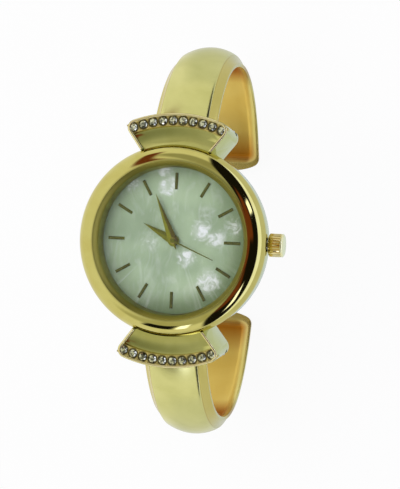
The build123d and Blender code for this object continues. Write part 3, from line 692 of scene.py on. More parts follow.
@dataclass(frozen=True)
class SettingFinish(Finish):
    """Gold of a stone setting, bright on the ridges, with painted shade round the edge of each seat and
    small dark pits.
    """

    main: Colour
    seat: Colour
    roughness: float
    ring_radius: float
    pitch: float
    stone_radius: float
    seat_width: float = 0.36
    seat_core: float = 0.25
    seat_share: float = 0.85
    seat_wear: float = 0.25
    pit: Cloud = Cloud(1900.0, 2.0)
    pit_edges: Pair = (0.4, 0.7)
    pit_share: float = 0.3
    pit_height: float = 0.01

    def inputs(self, sheet: Sheet) -> dict[str, Value]:
        """Works out the setting's tone and relief, with painted shade by how far the nearest stone's middle
        is.

        Args:
            sheet: the sheet for the nodes.

        Returns:
            A value or a signal for each socket.
        """
        across, along = sheet.level_place()
        turn = across.angle_to(along.size())
        aside = ((turn / self.pitch).fraction() - 0.5) * (self.pitch * self.ring_radius * MILLIMETRE)
        out = across.reach(along) - self.ring_radius * MILLIMETRE
        edges = (self.stone_radius + self.seat_width, self.stone_radius + self.seat_core * self.seat_width)
        # Painted shade round each stone's seat.
        dark = aside.reach(out).rise_mm(*edges)
        pits = sheet.clouds(self.pit)
        colour = sheet.mix(pits.rise(*self.pit_edges) * self.pit_share, self.main, self.seat)
        return {
            "Base Color": sheet.mix(dark * self.seat_share, colour, self.seat),
            "Metallic": 1.0,
            "Roughness": self.roughness + self.seat_wear * dark,
            "Normal": sheet.bump(pits, self.pit_height),
        }


@dataclass(frozen=True)
class MouldedFinish(Finish):
    """Moulded plastic, rubber or a coated board, with a fine matt grain."""

    main: Colour
    deep: Colour
    roughness: float
    cloud: Cloud = Cloud(300.0, 2.0)
    grain_width: float = 0.12
    grain_detail: float = 3.0
    grain_height: float = 0.006
    grain_wear: float = 0.4

    def inputs(self, sheet: Sheet) -> dict[str, Value]:
        """Works out the moulding's tone and grain.

        Args:
            sheet: the sheet for the nodes.

        Returns:
            A value or a signal for each socket.
        """
        grain = sheet.clouds(Cloud(1 / (self.grain_width * MILLIMETRE), self.grain_detail))
        return {
            "Base Color": sheet.mix(sheet.clouds(self.cloud), self.main, self.deep),
            "Roughness": self.roughness * (1 - self.grain_wear / 2 + self.grain_wear * grain),
            "Normal": sheet.bump(grain, self.grain_height),
        }


@dataclass(frozen=True)
class WireFinish(Finish):
    """Enamelled copper wire wound side by side along X."""

    light: Colour
    dark: Colour
    wire_width: float = 0.06
    wire_height: float = 0.02
    metal_share: float = 0.6
    gloss: Pair = (0.5, 0.2)

    def inputs(self, sheet: Sheet) -> dict[str, Value]:
        """Works out the wire's turns, with a painted highlight on each crown and painted shade between them.

        Args:
            sheet: the sheet for the nodes.

        Returns:
            A value or a signal for each socket.
        """
        along = sheet.level_place()[0]
        turns = (along * (2 * math.pi / (self.wire_width * MILLIMETRE))).sine() * 0.5 + 0.5
        return {
            # Painted highlight on each crown, painted shade between the turns.
            "Base Color": sheet.mix(turns, self.dark, self.light),
            "Metallic": self.metal_share,
            "Roughness": self.gloss[0] - self.gloss[1] * turns,
            "Normal": sheet.bump(turns, self.wire_height),
        }


CASE_GOLD = MetalFinish("case_gold", tone(208, 204, 124), tone(200, 196, 114), 0.1)
BEZEL_GOLD = MetalFinish(
    "bezel_gold",
    tone(208, 199, 118),
    tone(202, 191, 108),
    0.06,
    # The inner slope is matt, and its darker tone is painted shade.
    slope=SatinSlope(13.6, tone(152, 142, 64)),
)
ARM_GOLD = MetalFinish(
    "arm_gold",
    tone(220, 216, 141),
    tone(205, 202, 125),
    0.2,
    Grain.SATIN,
    grain_height=0.0015,
    cloud_width=9.0,
    # The pan's tones are painted light: warm reflection inside and at the ends, shade on the bevels.
    pan=PanTones(
        inside=tone(244, 220, 126),
        inside_deep=tone(228, 190, 82),
        warm_ends=tone(186, 114, 12),
        bevel=tone(206, 186, 96),
    ),
)
BAR_GOLD = SettingFinish(
    "bar_gold",
    tone(240, 222, 138),
    # Painted shade round the seats, which the pits also take.
    tone(58, 50, 20),
    roughness=0.3,
    ring_radius=20.55,
    pitch=0.0857,
    stone_radius=0.7,
)
RING_GOLD = MetalFinish("ring_gold", tone(164, 156, 72), tone(140, 134, 58), 0.34)
MARKER_GOLD = MetalFinish("marker_gold", tone(122, 124, 34), tone(98, 100, 24), 0.24)
HAND_GOLD = MetalFinish("hand_gold", tone(146, 146, 28), tone(118, 120, 18), 0.2)
BUTTON_GOLD = MetalFinish("button_gold", tone(248, 234, 178), tone(230, 208, 140), 0.14)
# The rims' cream tone is a painted highlight on the case's gold.
RIM_HIGHLIGHT_GOLD = MetalFinish("rim_gold", tone(250, 238, 178), tone(240, 226, 160), 0.32)
# Painted shade inside the hinge pins' holes.
PIN_SHADE = MetalFinish("pin_shade", tone(74, 76, 40), tone(58, 60, 28), 0.35)
CAP_GOLD = MetalFinish("cap_gold", tone(255, 251, 196), tone(250, 244, 186), 0.3)
DIAL_BRASS = MetalFinish("dial_brass", tone(196, 184, 130), tone(180, 166, 112), 0.4, Grain.MACHINED)
BACK_STEEL = MetalFinish("back_steel", tone(206, 206, 202), tone(188, 188, 184), 0.28, Grain.CIRCULAR)
PLAIN_STEEL = MetalFinish("plain_steel", tone(198, 198, 198), tone(176, 176, 178), 0.25, Grain.MACHINED)
WHEEL_BRASS = MetalFinish("wheel_brass", tone(214, 188, 116), tone(196, 168, 96), 0.25, Grain.MACHINED)
PEARL = PearlFinish(
    "pearl",
    tone(150, 174, 138),
    tone(177, 202, 163),
    tone(248, 254, 255),
    tone(188, 206, 168),
    # Painted shade round the rim.
    tone(94, 118, 70),
    # Spots of painted sheen.
    (
        BrightSpot(4.7, 1.9, 2.6, 1.0),
        BrightSpot(7.2, 0.6, 2.6, 0.6),
        BrightSpot(10.4, 2.6, 2.4, 0.45),
        BrightSpot(5.6, 5.0, 2.2, 0.25),
        BrightSpot(2.4, -2.9, 2.4, 0.8),
        BrightSpot(6.2, -6.9, 3.0, 0.85),
        BrightSpot(-1.5, 9.2, 2.6, 0.85),
        BrightSpot(-2.0, 11.8, 2.0, 0.5),
        BrightSpot(-7.6, 9.4, 2.0, 0.45),
        BrightSpot(-4.2, -0.4, 2.4, 0.35),
    ),
)
CRYSTAL = ClearFinish("crystal_glass", tone(235, 242, 238), 0.02)
STONE = StoneFinish("stone_glass", tone(222, 222, 182), tone(92, 94, 70))
BOARD = MouldedFinish("board_green", tone(60, 120, 84), tone(44, 98, 66), 0.45)
HOLDER = MouldedFinish("holder_white", tone(222, 222, 216), tone(206, 206, 198), 0.5)
RUBBER = MouldedFinish("rubber_black", tone(40, 40, 40), tone(28, 28, 28), 0.7)
NYLON = MouldedFinish("nylon", tone(224, 224, 214), tone(210, 210, 200), 0.4)
COPPER = WireFinish("copper_wire", tone(196, 120, 70), tone(110, 52, 26))

SLOT_FINISHES: dict[str, Finish] = {
    "case_gold": CASE_GOLD,
    "bezel_gold": BEZEL_GOLD,
    "arm_gold": ARM_GOLD,
    "bar_gold": BAR_GOLD,
    "stone": STONE,
    "crystal": CRYSTAL,
    "ring_gold": RING_GOLD,
    "dial_base": DIAL_BRASS,
    "pearl": PEARL,
    "marker_gold": MARKER_GOLD,
    "hand_gold": HAND_GOLD,
    "button_gold": BUTTON_GOLD,
    "back_steel": BACK_STEEL,
    "steel": PLAIN_STEEL,
    "wheel_brass": WHEEL_BRASS,
    "battery_steel": PLAIN_STEEL,
    "copper_wire": COPPER,
    "board_green": BOARD,
    "holder_plastic": HOLDER,
    "rubber_black": RUBBER,
    "gasket_clear": NYLON,
}


class FinishCupboard:
    """Makes each finish once and hands it out again."""

    def __init__(self) -> None:
        """Starts with none made."""
        self._made: dict[str, bpy.types.Material] = {}

    def take(self, finish: Finish) -> bpy.types.Material:
        """Hands out a finish, which is made at the first asking.

        Args:
            finish: the finish.

        Returns:
            Its material.
        """
        if finish.name not in self._made:
            self._made[finish.name] = finish.make()
        return self._made[finish.name]

    def dress(self, piece: bpy.types.Object, finish: Finish) -> None:
        """Gives a piece one finish all over."""
        piece.data.materials.clear()
        piece.data.materials.append(self.take(finish))


class Bench:
    """Blender's modelling operators, used one after another as by hand, in millimetres."""

    def clear(self) -> None:
        """Leaves edit mode and deselects everything."""
        if bpy.context.mode != "OBJECT":
            bpy.ops.object.mode_set(mode="OBJECT")
        bpy.ops.object.select_all(action="DESELECT")

    def pick(self, *pieces: bpy.types.Object) -> bpy.types.Object:
        """Selects only these pieces and makes the first one active.

        Args:
            pieces: the pieces.

        Returns:
            The first one.
        """
        self.clear()
        for piece in pieces:
            piece.select_set(True)
        bpy.context.view_layer.objects.active = pieces[0]
        return pieces[0]

    def edit(self, piece: bpy.types.Object) -> None:
        """Opens a piece in edit mode with all of it selected.

        Args:
            piece: the piece.
        """
        self.pick(piece)
        bpy.ops.object.mode_set(mode="EDIT")
        bpy.ops.mesh.select_all(action="SELECT")

    def started(self, label: str) -> bpy.types.Object:
        """Names the primitive that was just added.

        Args:
            label: its name.

        Returns:
            The primitive.
        """
        piece = bpy.context.view_layer.objects.active
        piece.name = label
        piece.data.name = label
        return piece

    def sweep(self, label: str, rings: Sequence[Ring], looped: bool = False) -> bpy.types.Object:
        """Extrudes a closed ring of edges from station to station.

        Args:
            label: the piece's name.
            rings: the places of the ring's points at each station, as many at every one.
            looped: True where the last station meets the first again, False where both ends get a face.

        Returns:
            The new piece, in millimetres.
        """
        self.clear()
        bpy.ops.mesh.primitive_circle_add(vertices=len(rings[0]), radius=1.0, fill_type="NOTHING")
        piece = self.started(label)
        for vertex, place in zip(piece.data.vertices, rings[0]):
            vertex.co = place
        self.edit(piece)
        if not looped:
            bpy.ops.mesh.edge_face_add()
            self._only_edges(piece)
        stations = [*rings, rings[0]] if looped else list(rings)
        for earlier, later in zip(stations, stations[1:]):
            bpy.ops.mesh.extrude_edges_move()
            self._shift_selected(piece, earlier, later)
        if not looped:
            bpy.ops.mesh.edge_face_add()
        bpy.ops.mesh.select_all(action="SELECT")
        bpy.ops.mesh.remove_doubles(threshold=MERGE_DISTANCE)
        bpy.ops.mesh.normals_make_consistent(inside=False)
        bpy.ops.object.mode_set(mode="OBJECT")
        return piece

    @staticmethod
    def _key(place: Vector) -> tuple[int, int, int]:
        """A place rounded so that equal places match."""
        return tuple(round(part * MATCH_STEPS) for part in place)

    def _only_edges(self, piece: bpy.types.Object) -> None:
        """Leaves the first ring's edges selected, without the face between them.

        Args:
            piece: the piece, in edit mode.
        """
        mesh = bmesh.from_edit_mesh(piece.data)
        for face in mesh.faces:
            face.select = False
        for edge in mesh.edges:
            edge.select = True
        bpy.context.tool_settings.mesh_select_mode = (False, True, False)
        bmesh.update_edit_mesh(piece.data)

    def _shift_selected(self, piece: bpy.types.Object, earlier: Ring, later: Ring) -> None:
        """Moves the freshly extruded ring.

        Args:
            piece: the piece, in edit mode.
            earlier: the places where the ring's points are.
            later: the places where they go, in the same order.
        """
        mesh = bmesh.from_edit_mesh(piece.data)
        targets = {self._key(old): new for old, new in zip(earlier, later)}
        for vertex in mesh.verts:
            if vertex.select:
                vertex.co = targets.get(self._key(vertex.co), vertex.co)
        bmesh.update_edit_mesh(piece.data)

    def revolve(self, label: str, profile: Sequence[Pair], steps: int) -> bpy.types.Object:
        """Turns a closed profile of (radius, height) points round Z."""
        return self.sweep(label, [circle(radius, height, steps) for radius, height in profile], looped=True)

    def soften(
        self, piece: bpy.types.Object, width: float, segments: int = 2, angle: float = SHARP_ANGLE
    ) -> None:
        """Rounds a piece's sharp edges with an applied bevel.

        Args:
            piece: the piece.
            width: the width of the round, in the piece's own unit.
            segments: how many stretches the round has.
            angle: how sharp an edge has to be, in degrees.
        """
        self.pick(piece)
        bevel = piece.modifiers.new("bevel", "BEVEL")
        bevel.width = width
        bevel.segments = segments
        bevel.limit_method = "ANGLE"
        bevel.angle_limit = math.radians(angle)
        bevel.use_clamp_overlap = True
        bevel.miter_outer = "MITER_ARC"
        bpy.ops.object.modifier_apply(modifier=bevel.name)

    def join(self, pieces: Sequence[bpy.types.Object], label: str) -> bpy.types.Object:
        """Joins pieces into the first one.

        Args:
            pieces: two pieces or more.
            label: the whole piece's name.

        Returns:
            The whole piece.
        """
        whole = self.pick(*pieces)
        bpy.ops.object.join()
        whole.name = label
        return whole

    def settle(self, piece: bpy.types.Object, place: Matrix) -> None:
        """Puts a piece in its place, applies it to the mesh and turns every face outwards.

        Args:
            piece: the piece.
            place: its place, turn and size.
        """
        self.pick(piece)
        piece.matrix_world = place
        bpy.ops.object.transform_apply(location=True, rotation=True, scale=True)
        self.edit(piece)
        bpy.ops.mesh.normals_make_consistent(inside=False)
        bpy.ops.object.mode_set(mode="OBJECT")

    def copy(self, piece: bpy.types.Object, label: str, place: Matrix) -> bpy.types.Object:
        """Copies a piece with its own mesh to a place.

        Args:
            piece: the piece.
            label: the copy's name.
            place: the copy's place, turn and size, seen from the piece.

        Returns:
            The copy.
        """
        self.pick(piece)
        bpy.ops.object.duplicate(linked=False)
        other = self.started(label)
        self.settle(other, place)
        return other

    def twin(self, piece: bpy.types.Object, label: str) -> bpy.types.Object:
        """Copies a piece with its own mesh, mirrored to the other side of XZ."""
        return self.copy(piece, label, Matrix.Diagonal((1.0, -1.0, 1.0, 1.0)))

    def copy_of_node(self, label: str, node: str) -> bpy.types.Object:
        """Copies a node's mesh, merges it and makes its flat faces whole.

        Args:
            label: the copy's name.
            node: the node's name.

        Returns:
            The copy, in metres.
        """
        mesh = frame["nodes"][node].data.copy()
        piece = bpy.data.objects.new(label, mesh)
        bpy.context.scene.collection.objects.link(piece)
        self.pick(piece)
        if mesh.has_custom_normals:
            bpy.ops.mesh.customdata_custom_splitnormals_clear()
        self.edit(piece)
        bpy.ops.mesh.remove_doubles(threshold=NODE_MERGE_DISTANCE)
        bpy.ops.mesh.dissolve_limited(angle_limit=math.radians(FLAT_ANGLE))
        bpy.ops.object.mode_set(mode="OBJECT")
        return piece

    def to_metres(self, piece: bpy.types.Object) -> None:
        """Brings a piece modelled in millimetres to its real size."""
        self.settle(piece, Matrix.Diagonal((MILLIMETRE, MILLIMETRE, MILLIMETRE, 1.0)))

    def smooth(self, piece: bpy.types.Object, angle: float = SHARP_ANGLE) -> None:
        """Shades a piece smooth.

        Args:
            piece: the piece.
            angle: how sharp an edge has to be to stay sharp, in degrees.
        """
        self.pick(piece)
        bpy.ops.object.shade_smooth_by_angle(angle=math.radians(angle))
        self.clear()


def circle(radius: float, height: float, steps: int) -> Ring:
    """Evenly spaced points of a level circle round Z."""
    turns = [2 * math.pi * k / steps for k in range(steps)]
    return [Vector((radius * math.cos(a), radius * math.sin(a), height)) for a in turns]


def mirrored(points: Sequence[Pair]) -> list[Pair]:
    """The points on the other side of the middle, in the opposite order."""
    return [(-x, y) for x, y in reversed(points)]


def unit(value: float) -> float:
    """The value, kept between 0 and 1."""
    return max(0.0, min(1.0, value))


def eased(share: float) -> float:
    """A share from 0 to 1 that starts and ends slowly."""
    return share * share * (3 - 2 * share)


def bowed(first: Pair, last: Pair, rise: float, steps: int) -> list[Pair]:
    """Points of the arc between two places that stands off their chord.

    Args:
        first, last: the arc's ends.
        rise: how far it stands off to the left of the way from first to last, or to the right if negative.
        steps: how many stretches it has.

    Returns:
        Its points, both ends among them.
    """
    start, end = Vector(first), Vector(last)
    chord = end - start
    left = Vector((-chord.y, chord.x)).normalized()
    half = chord.length / 2
    radius = (half * half + rise * rise) / (2 * abs(rise))
    middle = (start + end) / 2 + left * (rise - math.copysign(radius, rise))
    reach = math.asin(min(1.0, half / radius))
    points = []
    for k in range(steps + 1):
        turn = reach * (2 * k / steps - 1)
        offset = chord.normalized() * radius * math.sin(turn)
        offset += left * math.copysign(radius * math.cos(turn), rise)
        points.append(tuple(middle + offset))
    return points


def rounded(corners: Sequence[Pair], radii: Sequence[float], steps: int) -> list[Pair]:
    """The outline of a polygon whose corners are rounded.

    Args:
        corners: the polygon's corners in order.
        radii: the radius at each corner, 0 where it stays sharp.
        steps: how many stretches each round has.

    Returns:
        The outline's points in order.
    """
    points = []
    for k, (corner, radius) in enumerate(zip(corners, radii)):
        here = Vector(corner)
        if radius <= 0:
            points.append(tuple(here))
            continue
        back = (Vector(corners[k - 1]) - here).normalized()
        ahead = (Vector(corners[(k + 1) % len(corners)]) - here).normalized()
        opening = math.acos(max(-1.0, min(1.0, back.dot(ahead))))
        run = radius / math.tan(opening / 2)
        centre = here + (back + ahead).normalized() * (radius / math.sin(opening / 2))
        start, end = here + back * run - centre, here + ahead * run - centre
        sweep = start.angle_signed(end)
        for step in range(steps + 1):
            turned = start.copy()
            turned.rotate(Matrix.Rotation(-sweep * step / steps, 2))
            points.append(tuple(centre + turned))
    return points


@dataclass
class SubAssembly:
    """A part of the watch that is modelled on the bench and dressed from the cupboard."""

    bench: Bench
    cupboard: FinishCupboard

    def build(self) -> list[bpy.types.Object]:
        """Builds and dresses the sub-assembly.

        Returns:
            Its pieces.
        """
        raise NotImplementedError(self)

    def hand_over(
        self, piece: bpy.types.Object, body: str, node: str, slot: str, finish: Finish | None = None
    ) -> bpy.types.Object:
        """Says what a piece belongs to, and dresses it unless that is done.

        Args:
            piece: the piece, in metres.
            body: the CAD body that it moves with.
            node: the CAD node that it stands for.
            slot: the material slot that it stands for; not used.
            finish: its finish all over, or None where it is dressed already.

        Returns:
            The piece.
        """
        if finish is not None:
            self.cupboard.dress(piece, finish)
        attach(piece, body)
        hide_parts(node)
        return piece


@dataclass
class WatchHead(SubAssembly):
    """The case with its fan-shaped, rimmed wings, bezel, crystal, inner ring and back cover."""

    row: "StoneRow"
    case_bore_radius: float = 13.9
    case_neck_radius: float = 14.5
    case_shoulder_z: float = 6.4
    case_soft_segments: int = 3
    case_soft_angle: float = 25.0
    case_smooth_angle: float = 32.0
    neck_top_z: float = 7.0
    lip_z: float = 8.0
    crest_z: float = 9.0
    bezel_radius: float = 16.4
    bezel_land: float = 0.35
    crest_radius: float = 13.6
    bezel_swell: float = 0.608
    bezel_steps: int = 28
    bezel_wall_steps: int = 10
    bezel_foot_steps: int = 4
    bezel_smooth_angle: float = 40.0
    slope_radius: float = 12.75
    slope_gap: float = 0.03
    gasket_radius: float = 13.6
    crystal_radius: float = 13.3
    crystal_chamfer: float = 0.15
    crystal_steps: int = 160
    inner_ring_radius: float = 12.55
    inner_ring_top_radius: float = 13.05
    inner_ring_foot: float = 0.35
    inner_ring_hollow: float = 0.03
    inner_ring_steps: int = 6
    turned_steps: int = 192
    dial_face_z: float = 5.4
    edge_round: float = 0.06
    wing_edge_round: float = 0.12
    wing_radius: float = 21.85
    wing_corner: float = 1.2
    flank_half_width: float = 9.097
    flank_y: float = 19.088
    flank_slope: float = 0.75
    corner_rounds: int = 30
    rim_start_y: float = 15.4
    rim_radius: float = 0.25
    rim_sink: float = 0.14
    rim_arc_margin: float = 1.3
    rim_arc_steps: int = 14
    rim_corner_steps: int = 8
    rim_section_steps: int = 12
    hinge_y: float = 18.9
    pin_hole_reach: float = 0.56

    def build(self) -> list[bpy.types.Object]:
        """Builds and dresses the head.

        Returns:
            Its pieces.
        """
        return [self._case(), self._bezel(), self._crystal(), self._inner_ring(), self._back_cover()]

    def _case(self) -> bpy.types.Object:
        """Builds the case middle with both wings, their rims in a pale painted highlight and painted shade
        in the pin holes, its edges lightly rounded.

        Returns:
            The case.
        """
        case = self.bench.copy_of_node("case_with_wings", "case_middle")
        width = self.wing_edge_round * MILLIMETRE
        self.bench.soften(case, width, self.case_soft_segments, self.case_soft_angle)
        self.cupboard.dress(case, CASE_GOLD)
        upper_rim = self._wing_rim()
        lower_rim = self.bench.twin(upper_rim, "lower_wing_rim")
        for rim in (upper_rim, lower_rim):
            self.bench.to_metres(rim)
            # The rims get a paler gold as a painted highlight.
            self.cupboard.dress(rim, RIM_HIGHLIGHT_GOLD)
        case = self.bench.join([case, upper_rim, lower_rim], "case_with_wings")
        self.bench.smooth(case, self.case_smooth_angle)
        self._shade_pin_holes(case)
        return self.hand_over(case, "case", "case_middle", "case_gold")

    def _shade_pin_holes(self, case: bpy.types.Object) -> None:
        """Paints shade on the walls of the small holes that the hinge pins sit in.

        Args:
            case: the case, in metres.
        """
        case.data.materials.append(self.cupboard.take(PIN_SHADE))
        shade = len(case.data.materials) - 1
        for face in case.data.polygons:
            along = abs(face.center.y) / MILLIMETRE - self.hinge_y
            if math.hypot(along, face.center.z / MILLIMETRE) < self.pin_hole_reach:
                face.material_index = shade

    def _rim_path(self) -> list[Pair]:
        """Works out the middle of the upper wing's rim, which starts and ends at the bezel.

        Returns:
            Its points, seen from above.
        """
        far = self.wing_radius - self.rim_radius
        side = self.rim_radius * math.hypot(1.0, self.flank_slope)

        def flank(y: float) -> float:
            """Half the width of the rim's path at a distance from the axis of the hands."""
            return self.flank_half_width + self.flank_slope * (y - self.flank_y) - side

        corner_y = far
        for _ in range(self.corner_rounds):
            corner_y = math.sqrt(far * far - flank(corner_y) ** 2)
        corner = (flank(corner_y), corner_y)
        reach = math.atan2(*corner) - self.rim_arc_margin * self.wing_corner / far
        turns = [reach * (1 - k / self.rim_arc_steps) for k in range(self.rim_arc_steps + 1)]
        arc = [(far * math.sin(turn), far * math.cos(turn)) for turn in turns]
        half_path = [(flank(self.rim_start_y), self.rim_start_y), corner, *arc]
        path = [*half_path, *mirrored(half_path[:-1])]
        radii = [self.wing_corner if abs(x) == corner[0] else 0.0 for x, _ in path]
        return rounded(path, radii, self.rim_corner_steps)

    def _wing_rim(self) -> bpy.types.Object:
        """Builds the rounded rim that frames the upper wing's recess and stones.

        Returns:
            The rim, in millimetres.
        """
        points = self._rim_path()
        rings = []
        for k, (x, y) in enumerate(points):
            ahead = Vector(points[min(k + 1, len(points) - 1)]) - Vector(points[max(k - 1, 0)])
            ahead.normalize()
            ring = []
            for step in range(self.rim_section_steps + 1):
                turn = math.pi * step / self.rim_section_steps
                out = self.rim_radius * math.cos(turn)
                up = self.rim_radius * math.sin(turn) - self.rim_sink
                ring.append(Vector((x - ahead.y * out, y + ahead.x * out - self.row.ring_radius, up)))
            rings.append(ring)
        rim = self.bench.sweep("upper_wing_rim", rings)
        self.bench.settle(rim, self.row.wing_place())
        return rim

    def _finish_turned(
        self, piece: bpy.types.Object, finish: Finish, node: str, slot: str, angle: float = SHARP_ANGLE
    ) -> bpy.types.Object:
        """Brings a turned piece to its real size, smooths and dresses it.

        Args:
            piece: the piece, in millimetres.
            finish: its finish.
            node: the CAD node that it stands for.
            slot: the material slot that it stands for, passed on to hand_over.
            angle: how sharp an edge has to be to stay sharp, in degrees.

        Returns:
            The piece.
        """
        self.bench.to_metres(piece)
        self.bench.smooth(piece, angle)
        return self.hand_over(piece, "case", node, slot, finish)

    def _bezel(self) -> bpy.types.Object:
        """Builds the domed bezel ring.

        Returns:
            The bezel.
        """
        crest = (self.crest_radius, self.crest_z)
        land = (self.bezel_radius, self.case_shoulder_z + self.bezel_land)
        outer = bowed(land, crest, -self.bezel_swell, self.bezel_steps)
        slope_end = (self.slope_radius, self.lip_z + self.slope_gap)
        wall = bowed(crest, slope_end, -self.edge_round, self.bezel_wall_steps)
        corners = [
            (self.slope_radius, self.lip_z),
            (self.gasket_radius, self.lip_z),
            (self.gasket_radius, self.neck_top_z),
            (self.case_neck_radius, self.neck_top_z),
            (self.case_neck_radius, self.case_shoulder_z),
            (self.bezel_radius, self.case_shoulder_z),
        ]
        foot = rounded(corners, [0, 0, 0, 0, 0, self.edge_round], self.bezel_foot_steps)
        bezel = self.bench.revolve("domed_bezel", [*outer, *wall[1:], *foot], self.turned_steps)
        return self._finish_turned(bezel, BEZEL_GOLD, "bezel", "bezel_gold", self.bezel_smooth_angle)

    def _crystal(self) -> bpy.types.Object:
        """Builds the flat glass with its chamfered rim.

        Returns:
            The crystal.
        """
        rim = self.crystal_radius
        chamfer = self.crystal_chamfer
        profile = [
            (rim - chamfer, self.lip_z),
            (rim, self.lip_z - chamfer),
            (rim, self.neck_top_z + chamfer),
            (rim - chamfer, self.neck_top_z),
        ]
        rings = [circle(radius, height, self.crystal_steps) for radius, height in profile]
        crystal = self.bench.sweep("flat_crystal", rings)
        return self._finish_turned(crystal, CRYSTAL, "crystal", "crystal")

    def _inner_ring(self) -> bpy.types.Object:
        """Builds the sloping ring between dial and crystal.

        Returns:
            The ring.
        """
        top = (self.inner_ring_top_radius, self.neck_top_z)
        foot = (self.inner_ring_radius, self.dial_face_z + self.inner_ring_foot)
        profile = [
            *bowed(top, foot, -self.inner_ring_hollow, self.inner_ring_steps),
            (self.inner_ring_radius, self.dial_face_z),
            (self.case_bore_radius, self.dial_face_z),
            (self.case_bore_radius, self.neck_top_z),
        ]
        ring = self.bench.revolve("sloping_inner_ring", profile, self.turned_steps)
        return self._finish_turned(ring, RING_GOLD, "inner_ring", "ring_gold")

    def _back_cover(self) -> bpy.types.Object:
        """Builds the plain pressed cover of the back, its edges lightly rounded.

        Returns:
            The cover.
        """
        cover = self.bench.copy_of_node("brushed_back_cover", "back_cover")
        self.bench.soften(cover, self.edge_round * MILLIMETRE, angle=self.case_soft_angle)
        self.bench.smooth(cover)
        return self.hand_over(cover, "case", "back_cover", "back_steel", BACK_STEEL)


@dataclass
class StoneRow(SubAssembly):
    """A curved bar with beads in each wing, and the ten cut stones that it carries."""

    ring_radius: float = 20.6
    ring_z: float = 6.45
    tilt: float = 8.3
    bar_drop: float = 0.1
    count: int = 10
    stone_radius: float = 0.7
    stone_gap: float = 0.365
    stone_lean: float = 3.0
    facets: int = 8
    crown_height: float = 0.26
    girdle: float = 0.06
    depth: float = 0.46
    table_share: float = 0.56
    star_share: float = 0.8
    star_height_share: float = 0.58
    pavilion_share: float = 0.52
    culet_share: float = 0.12
    bead_radius: float = 0.17
    bead_offset: float = 0.72
    bead_segments: int = 12
    bead_rings: int = 8
    bead_smooth_angle: float = 60.0
    seed: int = 7

    def build(self) -> list[bpy.types.Object]:
        """Builds and dresses both rows.

        Returns:
            Their pieces.
        """
        stones = self._stones()
        bar = self._bar()
        pieces = []
        for side in Side:
            if side is Side.LOWER:
                stones = self.bench.twin(stones, "lower_cut_stones")
                bar = self.bench.twin(bar, "lower_beaded_bar")
            pieces.append(self.hand_over(stones, "case", f"{side.word}_stones", "stone", STONE))
            pieces.append(self.hand_over(bar, "case", f"{side.word}_stone_bar", "bar_gold", BAR_GOLD))
        return pieces

    def wing_place(self) -> Matrix:
        """The leaning plane of the upper wing, with the middle of the row as its origin."""
        lean = Matrix.Rotation(-math.radians(self.tilt), 4, "X")
        return Matrix.Translation((0, self.ring_radius, self.ring_z)) @ lean

    def _along_row(self, position: float, offset: float = 0.0) -> Matrix:
        """Works out a place in the wing's plane.

        Args:
            position: how many stones it is from the middle of the row.
            offset: how far out of the row it lies.

        Returns:
            The place, turned as the row is there.
        """
        turn = (2 * self.stone_radius + self.stone_gap) / self.ring_radius * position
        radius = self.ring_radius + offset
        middle = (radius * math.sin(turn), radius * math.cos(turn) - self.ring_radius, -self.bar_drop)
        return Matrix.Translation(middle) @ Matrix.Rotation(-turn, 4, "Z")

    def _one_stone(self) -> bpy.types.Object:
        """Builds a round cut stone as a hull: table, star and kite facets, girdle and pavilion.

        Returns:
            The stone, in millimetres.
        """
        half_facet = math.pi / self.facets
        radius = self.stone_radius
        pavilion = -self.girdle - self.depth * self.pavilion_share
        levels = [
            (2 * self.facets, radius, 0.0, 0.0),
            (2 * self.facets, radius, -self.girdle, 0.0),
            (self.facets, radius * self.star_share, self.crown_height * self.star_height_share, half_facet),
            (self.facets, radius * self.table_share, self.crown_height, 0.0),
            (self.facets, radius * self.pavilion_share, pavilion, half_facet),
            (self.facets, radius * self.culet_share, -self.girdle - self.depth, 0.0),
        ]
        self.bench.clear()
        bpy.ops.mesh.primitive_circle_add(vertices=levels[0][0], radius=radius, fill_type="NOTHING")
        stone = self.bench.started("one_stone")
        bpy.ops.object.mode_set(mode="EDIT")
        for corners, level_radius, height, turn in levels[1:]:
            bpy.ops.mesh.primitive_circle_add(
                vertices=corners,
                radius=level_radius,
                fill_type="NOTHING",
                location=(0, 0, height),
                rotation=(0, 0, turn),
            )
        bpy.ops.mesh.select_all(action="SELECT")
        bpy.ops.mesh.convex_hull(delete_unused=True, join_triangles=True)
        bpy.ops.object.mode_set(mode="OBJECT")
        return stone

    def _repeat(self, first: bpy.types.Object, label: str, places: Sequence[Matrix]) -> bpy.types.Object:
        """Copies a piece to each place, joins the copies and removes the first.

        Args:
            first: the piece, in millimetres.
            label: the name of the whole.
            places: the places in the wing's plane.

        Returns:
            The whole, in metres.
        """
        copies = [self.bench.copy(first, label, self.wing_place() @ place) for place in places]
        bpy.data.objects.remove(first)
        whole = self.bench.join(copies, label)
        self.bench.to_metres(whole)
        return whole

    def _stones(self) -> bpy.types.Object:
        """Builds the upper row of stones, each turned and leaning as chance set it.

        Returns:
            The row.
        """
        chance = random.Random(self.seed)
        places = []
        for k in range(self.count):
            turn = Matrix.Rotation(chance.uniform(0, 2 * math.pi / self.facets), 4, "Z")
            lean = Matrix.Rotation(math.radians(chance.uniform(-self.stone_lean, self.stone_lean)), 4, "X")
            places.append(self._along_row(k - (self.count - 1) / 2) @ lean @ turn)
        return self._repeat(self._one_stone(), "upper_cut_stones", places)

    def _bar(self) -> bpy.types.Object:
        """Builds the upper bar with a bead on each side between two stones.

        Returns:
            The bar.
        """
        bar = self.bench.copy_of_node("upper_beaded_bar", "upper_stone_bar")
        self.bench.smooth(bar)
        bpy.ops.mesh.primitive_uv_sphere_add(
            segments=self.bead_segments, ring_count=self.bead_rings, radius=self.bead_radius
        )
        bead = self.bench.started("one_bead")
        self.bench.smooth(bead, self.bead_smooth_angle)
        places = [
            self._along_row(k - self.count / 2, side * self.bead_offset)
            for k in range(1, self.count)
            for side in (-1, 1)
        ]
        return self.bench.join([bar, self._repeat(bead, "beads", places)], "upper_beaded_bar")


